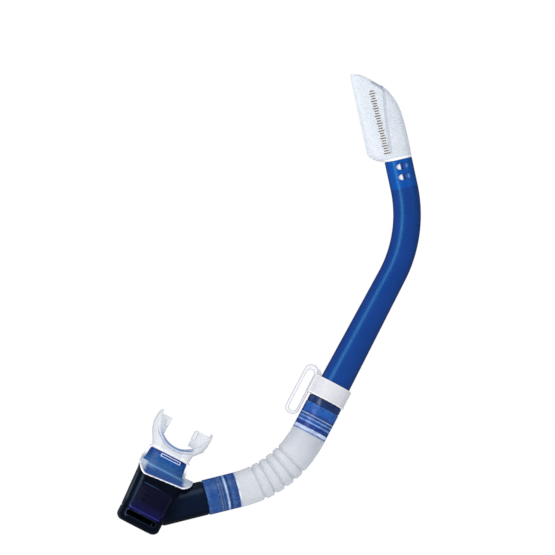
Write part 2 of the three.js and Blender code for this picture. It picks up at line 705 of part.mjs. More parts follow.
// Along the arm's axis from the foot of the lower coupler, then round the bend to the collar.
function hoseGeometry() {
  const arc = HOSE_BEND_RADIUS * THREE.MathUtils.degToRad(HOSE_TURN);
  const bendStart = COUPLER_LENGTH - GAP;
  const path = bentPath(bendStart, HOSE_BEND_RADIUS, HOSE_TURN);
  const upperEnd = bendStart + arc + HOSE_STRAIGHT;
  const total = upperEnd + COUPLER_LENGTH - COLLAR_HEIGHT - GAP;
  const ring = (length, radius) => placed(oval(radius, radius), path(length));

  const outer = [ring(0, CUFF_RADIUS), ring(bendStart, CUFF_RADIUS)];
  const firstRoot = bendStart + BELLOWS_START;
  outer.push(ring(firstRoot - BELLOWS_SHOULDER, CUFF_RADIUS));
  for (let i = 0; i <= BELLOWS_CRESTS; i++) {
    const root = firstRoot + i * BELLOWS_PITCH;
    outer.push(ring(root, BELLOWS_ROOT));
    if (i === BELLOWS_CRESTS) break;
    for (const share of BELLOWS_FLAT) outer.push(ring(root + share * BELLOWS_PITCH, BELLOWS_CREST));
  }
  const lastRoot = firstRoot + BELLOWS_CRESTS * BELLOWS_PITCH;
  outer.push(ring(lastRoot + BELLOWS_SHOULDER, CUFF_RADIUS));
  outer.push(ring(lastRoot + BELLOWS_ABOVE, CUFF_RADIUS));
  outer.push(ring(upperEnd, CUFF_RADIUS));
  outer.push(ring(total, CUFF_RADIUS));

  const inner = [ring(-1, CUFF_BORE), ring(bendStart + BORE_CLEAR, CUFF_BORE)];
  const narrowFrom = bendStart + 2 * BORE_CLEAR;
  const narrowTo = upperEnd - 2 * BORE_CLEAR;
  const steps = 8;
  for (let i = 0; i <= steps; i++) {
    inner.push(ring(between(narrowFrom, narrowTo, i / steps), BELLOWS_BORE));
  }
  inner.push(ring(upperEnd - BORE_CLEAR, CUFF_BORE));
  inner.push(ring(total + 1, CUFF_BORE));
  return geometryOf(solid(loft(outer)).subtract(solid(loft(inner))));
}

// ---------------------------------------------------------------- chamber

// An oval round the neck's axis, its half widths grown by an amount.
function neckOval(half, grow) {
  return shifted(oval(half[0] + grow, half[1] + grow), NECK_MIDDLE);
}

// Everything under the roof: a round vault whose ridge slopes up towards the arm.
function underRoof(lower) {
  const radius = ROOF_RADIUS - lower;
  const vault = new THREE.CylinderGeometry(radius, radius, 2 * BEYOND, 36).rotateZ(Math.PI / 2);
  const below = block(-BEYOND, BEYOND, -radius, radius, -2 * BEYOND, 0);
  const tilt = -THREE.MathUtils.degToRad(ROOF_SLOPE);
  const centre = ROOF_RIDGE - ROOF_RADIUS;
  const [round, straight] = [vault, below].map((form) => form.rotateY(tilt).translate(0, 0, centre));
  return solid(round).add(solid(straight));
}

// The chamber's section for a half width, pulled in on all sides; the inset also sharpens it.
function chamberRing(half, pull, inset) {
  const reach = half - pull - inset;
  const depth = CHAMBER_HALF_DEPTH - pull - inset;
  return roundedBox(CHAMBER_MIDDLE - reach, CHAMBER_MIDDLE + reach, depth, CHAMBER_CORNER - inset);
}

function chamberOutline(z, inset) {
  const share = THREE.MathUtils.clamp(z / ROOF_RIDGE, 0, 1);
  return chamberRing(between(CHAMBER_HALF, CHAMBER_TOP_HALF, share), 0, inset);
}

function chamberBody(inset, low) {
  const high = ROOF_RIDGE + 8;
  const walls = stack([
    [low, chamberOutline(0, inset)],
    [high, chamberOutline(high, inset)],
  ]);
  return solid(walls).intersect(underRoof(inset));
}

// A rod along the arm's axis, in the chamber's frame.
function armRod(radius, from, to) {
  return solid(rod(radius, from, to).rotateY(ARM_FROM_CHAMBER).translate(0, 0, ARM_RISE));
}

function housingGeometry() {
  const shell = chamberBody(0, GAP);
  const hollow = chamberBody(CHAMBER_WALL, -1);
  const aboveJoint = solid(block(-BEYOND, 2 * BEYOND, -BEYOND, BEYOND, GAP, 2 * BEYOND));
  const arm = armRod(ARM_RADIUS, ARM_FROM, ARM_LENGTH).intersect(aboveJoint);
  const bore = armRod(ARM_BORE, ARM_FROM + 4, ARM_LENGTH - ARM_END_WALL);
  const throat = armRod(SPIGOT_BORE, ARM_LENGTH - ARM_END_WALL - 2, ARM_LENGTH + 2);
  const spigot = spigotSolid()
    .rotate([180, 0, 0])
    .translate([0, 0, ARM_LENGTH])
    .rotate([0, ARM_TILT - CHAMBER_TILT, 0])
    .translate([0, 0, ARM_RISE]);
  const socket = solid(
    stack([
      [PLUG_LOW, neckOval(PLUG_HALF, GAP)],
      [ROOF_RIDGE + 10, neckOval(PLUG_HALF, GAP)],
    ]),
  );
  const recessFloor = -CHAMBER_HALF_DEPTH + PANEL_THICK - PANEL_PROUD;
  const recess = solid(plate(panelShape(GAP), -BEYOND, recessFloor));
  return geometryOf(
    shell
      .add(arm)
      .subtract(hollow)
      .subtract(bore)
      .subtract(throat)
      .add(spigot)
      .subtract(socket)
      .subtract(recess),
  );
}

function panelShape(grow) {
  return roundedShape(
    PANEL_SHIFT - PANEL_LENGTH / 2 - grow,
    PANEL_SHIFT + PANEL_LENGTH / 2 + grow,
    PANEL_MIDDLE - PANEL_HEIGHT / 2 - grow,
    PANEL_MIDDLE + PANEL_HEIGHT / 2 + grow,
    PANEL_CORNER + grow,
  );
}

function panelGeometry() {
  const front = -CHAMBER_HALF_DEPTH - PANEL_PROUD;
  return plate(panelShape(0), front, front + PANEL_THICK - GAP);
}

// The cover hangs below the purge joint and turns in to a flat floor.
function coverGeometry() {
  const outline = (z, inset) => {
    const rise = THREE.MathUtils.clamp((z + COVER_HEIGHT) / COVER_ROUND, 0, 1);
    const pull = COVER_ROUND * (1 - Math.sqrt(1 - (1 - rise) ** 2));
    return chamberRing(CHAMBER_HALF, pull, inset);
  };
  const heights = COVER_STEPS.map((share) => -COVER_HEIGHT + share * COVER_ROUND);
  const outer = solid(stack([...heights.map((z) => [z, outline(z, 0)]), [0, outline(0, 0)]]));
  const lifted = heights.map((z) => [z + COVER_WALL, outline(z, COVER_WALL)]);
  const inner = solid(stack([...lifted, [1, outline(0, COVER_WALL)]]));
  const outlet = solid(
    plate(
      slotShape(
        -OUTLET_LENGTH / 2,
        OUTLET_LENGTH / 2,
        -OUTLET_BELOW - OUTLET_HEIGHT / 2,
        -OUTLET_BELOW + OUTLET_HEIGHT / 2,
      ),
      -BEYOND,
      0,
    ),
  );
  return geometryOf(outer.subtract(inner).subtract(outlet));
}

// A plate across the housing's mouth with round ports between spokes.
function seatGeometry() {
  const inset = CHAMBER_WALL + GAP;
  const disc = solid(
    stack([
      [SEAT_LOW, chamberOutline(0, inset)],
      [SEAT_HIGH, chamberOutline(0, inset)],
    ]),
  );
  const ports = solid(
    turned([
      [SEAT_HUB_RADIUS, SEAT_LOW - 1],
      [SEAT_PORT_RADIUS, SEAT_LOW - 1],
      [SEAT_PORT_RADIUS, SEAT_HIGH + 1],
      [SEAT_HUB_RADIUS, SEAT_HIGH + 1],
    ]),
  );
  const half = SEAT_SPOKE / 2;
  const long = block(-BEYOND, BEYOND, -half, half, SEAT_LOW - 2, SEAT_HIGH + 2);
  const cross = block(-half, half, -BEYOND, BEYOND, SEAT_LOW - 2, SEAT_HIGH + 2);
  const openings = ports.subtract(solid(long)).subtract(solid(cross));
  const hole = solid(rod(SEAT_HOLE, SEAT_LOW - 1, SEAT_HIGH + 1, 16));
  return geometryOf(disc.subtract(openings).subtract(hole));
}

function diaphragmGeometry() {
  const top = SEAT_LOW - GAP;
  const bulb = SEAT_HIGH + VALVE_LIFT + GAP;
  const [padInner, padOuter, padHeight] = DIAPHRAGM_PAD;
  const [bulbWidest, bulbShoulder, bulbTip] = STEM_BULB_HEIGHTS;
  return spun([
    [0, top - DIAPHRAGM_THICK - padHeight],
    [padInner, top - DIAPHRAGM_THICK - padHeight],
    [padOuter, top - DIAPHRAGM_THICK],
    [DIAPHRAGM_RADIUS, top - DIAPHRAGM_RIM],
    [DIAPHRAGM_RADIUS, top],
    [STEM_RADIUS, top],
    [STEM_RADIUS, bulb],
    [STEM_BULB, bulb + bulbWidest],
    [STEM_RADIUS, bulb + bulbShoulder],
    [0, bulb + bulbTip],
  ]);
}

// ---------------------------------------------------------------- mouthpiece

function adapterGeometry() {
  const outer = stack([
    [PLUG_LOW, neckOval(PLUG_HALF, 0)],
    [NECK_LOW, neckOval(PLUG_HALF, 0)],
    [NECK_LOW + 0.1, neckOval(NECK_FOOT_HALF, 0)],
    [NECK_LOW + 3, neckOval(NECK_FOOT_HALF, -NECK_EASE)],
    [NECK_HIGH - 1.5, neckOval(NECK_TOP_HALF, 0)],
    [NECK_HIGH, neckOval(NECK_TOP_HALF, -NECK_EASE)],
  ]);
  const inner = stack([
    [PLUG_LOW - 1, neckOval(PLUG_HALF, -NECK_WALL)],
    [NECK_HIGH + 1, neckOval(NECK_TOP_HALF, -NECK_WALL)],
  ]);
  const low = SEAL_HEIGHT - SEAL_THICK - GAP;
  const high = SEAL_HEIGHT + SEAL_THICK + GAP;
  const around = stack([
    [low, neckOval(PLUG_HALF, 5)],
    [high, neckOval(PLUG_HALF, 5)],
  ]);
  const floor = stack([
    [low - 1, neckOval(PLUG_HALF, -SEAL_THICK)],
    [high + 1, neckOval(PLUG_HALF, -SEAL_THICK)],
  ]);
  const groove = solid(around).subtract(solid(floor));
  return geometryOf(solid(outer).subtract(solid(inner)).subtract(groove));
}

// An oval ring of square section in the plug's groove.
function sealGeometry() {
  const low = SEAL_HEIGHT - SEAL_THICK;
  const high = SEAL_HEIGHT + SEAL_THICK;
  const outer = stack([
    [low, neckOval(PLUG_HALF, 0)],
    [high, neckOval(PLUG_HALF, 0)],
  ]);
  const inner = stack([
    [low - 1, neckOval(PLUG_HALF, GAP - SEAL_THICK)],
    [high + 1, neckOval(PLUG_HALF, GAP - SEAL_THICK)],
  ]);
  return geometryOf(solid(outer).subtract(solid(inner)));
}

// The lip shield: it flares from the boot's top and is hollowed by a cylinder along Y.
function shieldSolid() {
  const rings = SHIELD_LAYERS.map(([z, left, right, halfDepth]) => [
    z,
    roundedBox(left, right, halfDepth, halfDepth - SHIELD_FLAT, ROUND / 4 - 1),
  ]);
  const [rx, rz] = SHIELD_CENTRE;
  const radius = SHIELD_RADIUS;
  const mouth = new THREE.CylinderGeometry(radius, radius, 2 * BEYOND, 2 * ROUND).translate(rx, 0, rz);
  const above = block(rx - radius, rx + radius, -BEYOND, BEYOND, rz, rz + BEYOND);
  return solid(stack(rings)).subtract(solid(mouth)).subtract(solid(above));
}

// A flat bite tab from the shield to its inner edge, with an upright lug there.
function tabSolid(outerX, innerX) {
  const half = TAB_THICK / 2;
  const [tabFrom, tabTo] = [Math.min(outerX, innerX), Math.max(outerX, innerX)];
  const tab = block(tabFrom, tabTo, -half, half, TAB_LOW, TAB_TOP);
  const lugX = innerX + Math.sign(outerX - innerX) * TAB_LUG_WIDTH;
  const [lugFrom, lugTo] = [Math.min(lugX, innerX), Math.max(lugX, innerX)];
  const [lugLow, lugHigh] = [TAB_TOP - TAB_LUG_HEIGHT, TAB_TOP - 0.5];
  const lug = block(lugFrom, lugTo, -TAB_LUG / 2, TAB_LUG / 2, lugLow, lugHigh);
  return solid(tab).add(solid(lug));
}

// The skirt's outer form: upright from the chamber's edge, then in to the boot.
function skirtForm() {
  const left = SKIRT_REACH - SKIRT_HALF;
  const right = SKIRT_REACH + SKIRT_HALF;
  const rim = roundedBox(left, right, CHAMBER_HALF_DEPTH, CHAMBER_CORNER, ROUND / 4 - 1);
  return solid(
    stack([
      [ROOF_RIDGE - ROOF_RADIUS, rim],
      [ROOF_RIDGE + SKIRT_UPRIGHT, rim],
      [ROOF_RIDGE + SKIRT_UPRIGHT + 1, neckOval(NECK_FOOT_HALF, BOOT_WALL + 1)],
      [NECK_LOW + 6, neckOval(NECK_FOOT_HALF, BOOT_WALL)],
    ]),
  );
}

function mouthpieceGeometry() {
  const boot = stack([
    [NECK_LOW - BOOT_DROP, neckOval(NECK_FOOT_HALF, BOOT_WALL)],
    [NECK_LOW + 4, neckOval(NECK_FOOT_HALF, BOOT_WALL)],
    [NECK_HIGH + 1, neckOval(NECK_TOP_HALF, BOOT_WALL)],
    [SHIELD_LAYERS[0][0] + 1, neckOval(LIP_BORE_HALF, 4)],
  ]);
  const roofGap = underRoof(-GAP);
  const skirt = underRoof(-SKIRT_WALL).subtract(roofGap).intersect(skirtForm());
  const hollow = stack([
    [NECK_LOW - 20, neckOval(NECK_FOOT_HALF, GAP)],
    [NECK_LOW + 3, neckOval(NECK_FOOT_HALF, GAP)],
    [NECK_HIGH, neckOval(NECK_TOP_HALF, GAP)],
    [NECK_HIGH + GAP, neckOval(NECK_TOP_HALF, GAP)],
  ]);
  const bore = stack([
    [NECK_HIGH - 1, neckOval(LIP_BORE_HALF, 0)],
    [SHIELD_CENTRE[1], neckOval(LIP_BORE_HALF, 0)],
  ]);
  return geometryOf(
    solid(boot)
      .add(skirt)
      .add(shieldSolid())
      .add(tabSolid(TAB_LEFT[0], TAB_LEFT[1]))
      .add(tabSolid(TAB_RIGHT[0], TAB_RIGHT[1]))
      .subtract(solid(hollow))
      .subtract(solid(bore))
      .subtract(roofGap)
      .subtract(armRod(ARM_RADIUS + GAP, 0, ARM_LENGTH)),
  );
}

// ---------------------------------------------------------------- assembly

const snorkel = new THREE.Group();

const chamberFrame = frameAt(0, 0, CHAMBER_TILT);
chamberFrame.add(
  named("chamber_housing", housingGeometry(), DARK_CHAMBER()),
  named("front_panel", panelGeometry(), PANEL_BLUE()),
  named("purge_cover", coverGeometry(), DARK_CHAMBER()),
  named("valve_seat", seatGeometry(), DARK_CHAMBER()),
  named("purge_diaphragm", diaphragmGeometry(), CLEAR_SILICONE()),
  named("mouthpiece_adapter", adapterGeometry(), BLUE_COUPLER()),
  named("adapter_seal", sealGeometry(), BLACK_RUBBER()),
  named("mouthpiece", mouthpieceGeometry(), CLEAR_SILICONE()),
);

// +Z runs out along the arm; height 0 is the joint between the arm and the lower coupler.
const armRoot = frameAt(0, ARM_RISE, ARM_TILT - CHAMBER_TILT);
const armFrame = frameAt(0, ARM_LENGTH, 0);
chamberFrame.add(armRoot);
armRoot.add(armFrame);
const lowerCoupler = named("lower_coupler", couplerGeometry(false), BLUE_COUPLER());
lowerCoupler.rotation.x = Math.PI;
lowerCoupler.position.z = COUPLER_LENGTH + GAP;
const lowerOringHeight = SPIGOT_LENGTH - ORING_FROM_END;
const lowerSnapHeight = SPIGOT_LENGTH - SNAP_FROM_END - SNAP_HEIGHT;
const hose = named("flex_hose", hoseGeometry(), CLEAR_SILICONE());
hose.position.z = 2 * GAP;
armFrame.add(
  lowerCoupler,
  named("lower_oring", oringGeometry(lowerOringHeight), BLACK_RUBBER()),
  named("lower_snap_ring", snapRingGeometry(lowerSnapHeight), WHITE_ACETAL()),
  hose,
);

// The hose's bend carries the barrel's frame: height 0 is the upper coupler's free end.
const hoseRoot = COUPLER_LENGTH + GAP;
const hoseArcLength = HOSE_BEND_RADIUS * THREE.MathUtils.degToRad(HOSE_TURN);
const hosePath = bentPath(hoseRoot, HOSE_BEND_RADIUS, HOSE_TURN);
const hoseEnd = hosePath(hoseRoot + hoseArcLength + HOSE_STRAIGHT);
const barrelFrame = frameAt(hoseEnd.x, hoseEnd.z, -HOSE_TURN);
armFrame.add(barrelFrame);
const upperSpigotEnd = BARREL_FOOT - SPIGOT_LENGTH;
barrelFrame.add(
  named("barrel", barrelGeometry(), BLUE_BARREL()),
  named("keeper_clip", keeperGeometry(), WHITE_KEEPER()),
  named("upper_coupler", couplerGeometry(true), BLUE_COUPLER()),
  named("upper_oring", oringGeometry(upperSpigotEnd + ORING_FROM_END), BLACK_RUBBER()),
  named("upper_snap_ring", snapRingGeometry(upperSpigotEnd + SNAP_FROM_END), WHITE_ACETAL()),
);

const barrelTop = barrelPath(BARREL_LENGTH);
const hoodFrame = frameAt(barrelTop.x, barrelTop.z, -BARREL_TURN);
barrelFrame.add(hoodFrame);
const hood = hoodShell();
hoodFrame.add(
  named("hood_front_shell", hoodHalfGeometry(hood, -1), CLEAR_HOOD()),
  named("hood_rear_shell", hoodHalfGeometry(hood, 1), CLEAR_HOOD()),
  named("hood_baffle", baffleGeometry(), CLEAR_HOOD()),
  named("drain_sleeve", drainSleeveGeometry(), CLEAR_HOOD()),
);

snorkel.add(chamberFrame);

// The whole snorkel moves so that the strap slot's inner face is at the origin.
snorkel.updateMatrixWorld(true);
const strapFace = new THREE.Vector3(STRAP_SLOT_INNER, 0, STRAP_FACE_HEIGHT);
snorkel.position.copy(barrelFrame.localToWorld(strapFace)).negate();

export default snorkel;
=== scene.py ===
"""A snorkel tube round its CAD frame: lengths in the dimension block are millimetres, each in the
local frame of its piece, where Z runs along the piece's own axis and the front is -Y."""

import json
import math

import bmesh
import bpy
import numpy as np
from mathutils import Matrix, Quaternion, Vector


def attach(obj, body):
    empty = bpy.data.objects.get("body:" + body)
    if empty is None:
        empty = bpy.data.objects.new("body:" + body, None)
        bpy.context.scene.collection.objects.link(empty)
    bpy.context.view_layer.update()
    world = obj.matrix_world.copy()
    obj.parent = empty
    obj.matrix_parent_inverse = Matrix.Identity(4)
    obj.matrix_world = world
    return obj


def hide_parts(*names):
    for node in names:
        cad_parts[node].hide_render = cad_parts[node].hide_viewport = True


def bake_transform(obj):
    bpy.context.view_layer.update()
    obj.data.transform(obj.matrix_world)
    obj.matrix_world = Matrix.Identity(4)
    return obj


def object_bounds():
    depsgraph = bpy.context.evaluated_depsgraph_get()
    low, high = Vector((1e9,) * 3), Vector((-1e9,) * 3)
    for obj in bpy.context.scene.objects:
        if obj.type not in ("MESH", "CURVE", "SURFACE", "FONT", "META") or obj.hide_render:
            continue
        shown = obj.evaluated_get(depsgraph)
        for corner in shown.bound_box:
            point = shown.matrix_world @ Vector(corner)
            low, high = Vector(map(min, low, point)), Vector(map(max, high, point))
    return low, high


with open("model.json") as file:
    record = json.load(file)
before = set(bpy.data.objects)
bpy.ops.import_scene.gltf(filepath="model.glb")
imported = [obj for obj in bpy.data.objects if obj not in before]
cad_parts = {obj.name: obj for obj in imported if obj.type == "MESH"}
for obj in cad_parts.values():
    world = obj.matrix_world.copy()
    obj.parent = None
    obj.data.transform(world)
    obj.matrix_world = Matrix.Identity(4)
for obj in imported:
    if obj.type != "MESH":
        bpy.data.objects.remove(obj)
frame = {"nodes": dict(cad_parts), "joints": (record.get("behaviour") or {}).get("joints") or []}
CAD_BOX = [list(corner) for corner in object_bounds()]

# ------------------------------------------------------------------ dimensions

MM = 0.001
FACETS = 72
GAP = 0.3
SEAM = 0.05

SPIGOT_RADIUS = 11.2
SPIGOT_BORE = 9.6
SPIGOT_LENGTH = 26.0
SOCKET_BORE = SPIGOT_RADIUS + GAP
SNAP_RADIUS = 12.3
SNAP_HEIGHT = 1.6
SNAP_DEPTH = 1.2
SNAP_FROM_END = 3.0
SNAP_SLIT = 3.0
ORING_THICK = 1.2
ORING_FROM_END = 15.0
COUPLER_RADIUS = 13.8
COUPLER_RIB = 0.35
COUPLER_RIB_PITCH = 2.6
COUPLER_RIB_START = 9.0
COUPLER_RIBS = 4
COUPLER_LENGTH = 31.5
COLLAR_RADIUS = 16.2
COLLAR_HEIGHT = 4.0
COLLAR_LIP = 2.1

HOSE_STRAIGHT = 0.2
CUFF_RADIUS = 16.4
CUFF_BORE = 14.45
BELLOWS_CREST = 16.9
BELLOWS_ROOT = 15.1
BELLOWS_PITCH = 9.2
BELLOWS_CRESTS = 4
BELLOWS_START = 19.5
BELLOWS_GROOVE = 1.9
BELLOWS_WALL = 2.1

BARREL_STRAIGHT = 164.5
BARREL_BEND_RADIUS = 120.0
BARREL_TURN = 40.3
BARREL_TOP_STRAIGHT = 25.9
BARREL_FOOT = COUPLER_LENGTH + 1.8
BARREL_FOOT_HALF = (14.8, 12.2)
BARREL_TOP_HALF = (12.8, 11.6)
BARREL_WALL = 1.8
SLOT_LENGTH = 11.6
SLOT_HEIGHT = 6.0
SLOTS_BELOW_TOP = (6.4, 16.1)
SLOT_SHIFT = 1.2

GUTTER = 0.9
SLEEVE_WALL = 1.2
SLEEVE_BELOW = 26.0
SLEEVE_ABOVE = 3.0
SLEEVE_FLARE = 4.0

HOOD_WALL = 1.6
HOOD_HEIGHT = 86.0
HOOD_BACK = -27.2
HOOD_TIP_HALF_DEPTH = 3.6
HOOD_POCKET = 11.0
HOOD_POCKET_ROUND = 1.9
HOOD_SLIT = (-9.0, -0.6)
HOOD_SLIT_WIDTH = 5.0
HOOD_EDGE = (
    (12.8, 0.0), (13.2, 16.0), (12.8, 33.0), (11.0, 48.0), (6.5, 60.0),
    (0.0, 69.4), (-11.5, 79.2), (-18.6, 84.0), (-25.1, HOOD_HEIGHT),
)
BAFFLE_THICK = 1.2
BAFFLE_FOOT = (-5.2, 7.0)
BAFFLE_HEAD = (0.4, 66.0)

KEEPER_LOW = 34.2
KEEPER_HIGH = 52.2
KEEPER_WALL = 2.3
KEEPER_BOSS_HALF = 7.5
STRAP_SLOT_INNER = -20.7
STRAP_SLOT_WIDTH = 8.1
STRAP_SLOT_LENGTH = 42.0
STRAP_SLOT_LOW = 11.5
LOOP_OUTER_LEG = 2.7
LOOP_INNER_LEG = 2.0
LOOP_TOP = 5.2
LOOP_FOOT = 3.0
LOOP_DEPTH = 9.0
LOOP_ROUND = 0.6
LOOP_WEB = ((-19.6, 50.0), (-13.4, 51.6), (-18.6, 57.2), (-20.4, 57.0))

ARM_RADIUS = 15.9
ARM_BORE = 13.2
ARM_LENGTH = 61.0
ARM_RISE = 0.2
CHAMBER_WALL = 2.2
CHAMBER_MIDDLE = 0.9
CHAMBER_HALF = 20.4
CHAMBER_TOP_HALF = 23.2
CHAMBER_HALF_DEPTH = 17.0
CHAMBER_CORNER = 8.5
ROOF_RADIUS = 20.2
ROOF_RIDGE = 43.6
ROOF_SLOPE = 5.1
COVER_HEIGHT = 12.6
COVER_WALL = 2.0
COVER_ROUND = 6.0
OUTLET_LENGTH = 30.0
OUTLET_HEIGHT = 5.0
OUTLET_BELOW = 3.5
PANEL_LENGTH = 33.0
PANEL_SHIFT = 1.5
PANEL_HEIGHT = 25.0
PANEL_MIDDLE = 15.5
PANEL_CORNER = 4.5
PANEL_THICK = 1.5
PANEL_PROUD = 0.5
PANEL_BARS = (-5.0, 0.0, 5.0)
PANEL_BAR_HALF = (9.5, 1.1)

SEAT_LOW = 1.2
SEAT_HIGH = 3.2
DIAPHRAGM_RADIUS = 12.6
DIAPHRAGM_THICK = 1.0
STEM_RADIUS = 1.5
STEM_BULB = 2.3
VALVE_LIFT = 1.5

NECK_MIDDLE = -1.5
NECK_TOP_HALF = (18.6, 9.8)
NECK_FOOT_HALF = (20.2, 12.2)
NECK_LOW = 46.6
NECK_HIGH = 60.0
NECK_WALL = 2.0
PLUG_HALF = (18.0, 10.2)
PLUG_LOW = 32.0
SEAL_THICK = 1.1
SEAL_HEIGHT = 38.4
BOOT_WALL = 2.2
SKIRT_WALL = 2.2
SKIRT_REACH = 3.2
SKIRT_HALF = 26.0
LIP_BORE_HALF = (10.5, 6.5)
WINDOW = (0.6, 57.2, 9.6, 1.1)
SHIELD_LAYERS = (
    (62.0, -19.6, 17.6, 10.0), (68.6, -23.0, 18.2, 12.0), (74.6, -26.4, 23.7, 13.5),
    (81.6, -28.6, 26.3, 14.0), (89.6, -28.4, 26.7, 13.0), (95.1, -26.6, 26.1, 11.0),
)
SHIELD_CENTRE = (-0.2, 94.2)
SHIELD_RADIUS = 25.0
TAB_THICK = 3.6
TAB_LOW = 75.6
TAB_TOP = 91.6
TAB_LEFT = (-26.4, -14.8)
TAB_RIGHT = (25.6, 9.8)
TAB_LUG = 9.0
TAB_LUG_WIDTH = 3.0
TAB_LUG_HEIGHT = 9.0

BEYOND = 60.0

# ------------------------------------------------------------------ local frames


class Local:
    """A right-handed frame in millimetres: origin, and Z along a direction in the XZ plane."""

    def __init__(self, origin, up):
        self.origin = np.array(origin, float)
        self.z = np.array(up, float) / np.linalg.norm(up)
        self.y = np.array((0.0, 1.0, 0.0))
        self.x = np.cross(self.y, self.z)

    def out(self, points):
        """Local millimetres to the row frame in metres."""
        points = np.asarray(points, float)
        basis = np.array((self.x, self.y, self.z))
        return (self.origin + points @ basis) * MM

    def moved(self, x, z, tilt):
        """A child frame at x and z, tilted from this frame's Z towards its X, in radians."""
        origin = self.origin + x * self.x + z * self.z
        return Local(origin, self.z * math.cos(tilt) + self.x * math.sin(tilt))


JOINTS = {joint["name"]: joint for joint in frame["joints"]}


def joint_frame(name):
    joint = JOINTS[name]
    return Local(np.array(joint["pos_m"]) / MM, joint["axis"])


ARM = joint_frame("lower_swivel")
BARREL = joint_frame("upper_swivel")
CHAMBER_UP = -np.array(JOINTS["purge_lift"]["axis"])
CHAMBER = Local(ARM.origin - ARM.z * ARM_LENGTH - CHAMBER_UP * ARM_RISE, CHAMBER_UP)
HOSE_TURN = math.acos(float(ARM.z @ BARREL.z))
HOSE_CHORD = BARREL.origin - BARREL.z * HOSE_STRAIGHT - ARM.origin - ARM.z * (COUPLER_LENGTH + GAP)
HOSE_RADIUS = float(np.linalg.norm(HOSE_CHORD)) / (2 * math.sin(HOSE_TURN / 2))
ARM_TILT = math.acos(float(ARM.z @ CHAMBER.z))
HOSE_LOWER_END = COUPLER_LENGTH - GAP
HOSE_UPPER_END = HOSE_LOWER_END + HOSE_RADIUS * HOSE_TURN + HOSE_STRAIGHT

# ------------------------------------------------------------------ outlines, paths and lofts


def oval(half_x, half_y, middle=0.0, count=FACETS):
    angle = np.linspace(0, 2 * math.pi, count, endpoint=False)
    return np.column_stack((middle + half_x * np.cos(angle), half_y * np.sin(angle)))


def rounded_box(x0, x1, half_y, radius, per_corner=10):
    corners = (
        (x1 - radius, half_y - radius, 0), (x0 + radius, half_y - radius, 90),
        (x0 + radius, radius - half_y, 180), (x1 - radius, radius - half_y, 270),
    )
    points = []
    for cx, cy, start in corners:
        for step in range(per_corner + 1):
            angle = math.radians(start + 90 * step / per_corner)
            points.append((cx + radius * math.cos(angle), cy + radius * math.sin(angle)))
    return np.array(points)


def stadium(x0, x1, z0, z1, arc=16, side=0):
    """A slot outline, counterclockwise, with half-round ends and points along its long sides."""
    r = min(x1 - x0, z1 - z0) / 2
    wide = x1 - x0 > z1 - z0
    first = (x1 - r, (z0 + z1) / 2) if wide else ((x0 + x1) / 2, z1 - r)
    second = (x0 + r, (z0 + z1) / 2) if wide else ((x0 + x1) / 2, z0 + r)
    start = -90 if wide else 0
    points = []
    for (cx, cz), turn in ((first, start), (second, start + 180)):
        for step in range(arc + 1):
            angle = math.radians(turn + 180 * step / arc)
            points.append((cx + r * math.cos(angle), cz + r * math.sin(angle)))
    full = []
    for index, point in enumerate(points):
        full.append(point)
        if index in (arc, 2 * arc + 1):
            after = points[(index + 1) % len(points)]
            for step in range(1, side + 1):
                share = step / (side + 1)
                full.append(tuple(a + (b - a) * share for a, b in zip(point, after)))
    return np.array(full)


def bent_path(straight, radius, turn):
    """Where a centre line is after a length: up Z, an arc towards -X, then straight."""

    def at(length):
        if length <= straight:
            return 0.0, length, 0.0
        angle = min((length - straight) / radius, turn)
        rest = length - straight - angle * radius
        x = -radius + radius * math.cos(angle) - rest * math.sin(angle)
        z = straight + radius * math.sin(angle) + rest * math.cos(angle)
        return x, z, -angle

    return at


def upright(outline, z):
    return np.column_stack((outline, np.full(len(outline), z)))


def placed(outline, at):
    x, z, tilt = at
    return np.column_stack((
        x + outline[:, 0] * math.cos(tilt),
        outline[:, 1],
        z - outline[:, 0] * math.sin(tilt),
    ))


def filleted(profile, radius, steps=3):
    """A closed polygon of radius and height pairs with its corners rounded."""
    points = np.array(profile, float)
    result = []
    for index, corner in enumerate(points):
        before, after = points[index - 1], points[(index + 1) % len(points)]
        back, ahead = before - corner, after - corner
        reach = min(radius, 0.45 * np.linalg.norm(back), 0.45 * np.linalg.norm(ahead))
        start = corner + back / np.linalg.norm(back) * reach
        end = corner + ahead / np.linalg.norm(ahead) * reach
        for step in range(steps + 1):
            t = step / steps
            result.append((1 - t) ** 2 * start + 2 * t * (1 - t) * corner + t * t * end)
    return result


# ------------------------------------------------------------------ working solids


def work(vertices, faces):
    mesh = bpy.data.meshes.new("work")
    mesh.from_pydata(np.asarray(vertices, float).tolist(), [], faces)
    mesh.update()
    obj = bpy.data.objects.new("work", mesh)
    bpy.context.scene.collection.objects.link(obj)
    return obj


def loft(rings, closed=False):
    """A skin through rings of points: round to its start when closed, else with flat ends."""
    count = len(rings[0])
    faces = []
    spans = len(rings) if closed else len(rings) - 1
    for k in range(spans):
        low, high = k * count, (k + 1) % len(rings) * count
        for i in range(count):
            j = (i + 1) % count
            faces.append((low + i, low + j, high + j, high + i))
    if not closed:
        last = (len(rings) - 1) * count
        faces.append(tuple(reversed(range(count))))
        faces.append(tuple(range(last, last + count)))
    return work(np.vstack(rings), faces)


def stack(layers):
    """A solid through level outlines: each layer is a height and an outline."""
    return loft([upright(outline, z) for z, outline in layers])


def turned(profile, radius=0.0, count=FACETS):
    """A ring turned from a closed profile, with rounded corners."""
    points = filleted(profile, radius) if radius else profile
    return loft([upright(oval(r, r, count=count), z) for r, z in points], closed=True)


def rod(radius, z0, z1, count=FACETS):
    return stack(((z0, oval(radius, radius, count=count)), (z1, oval(radius, radius, count=count))))


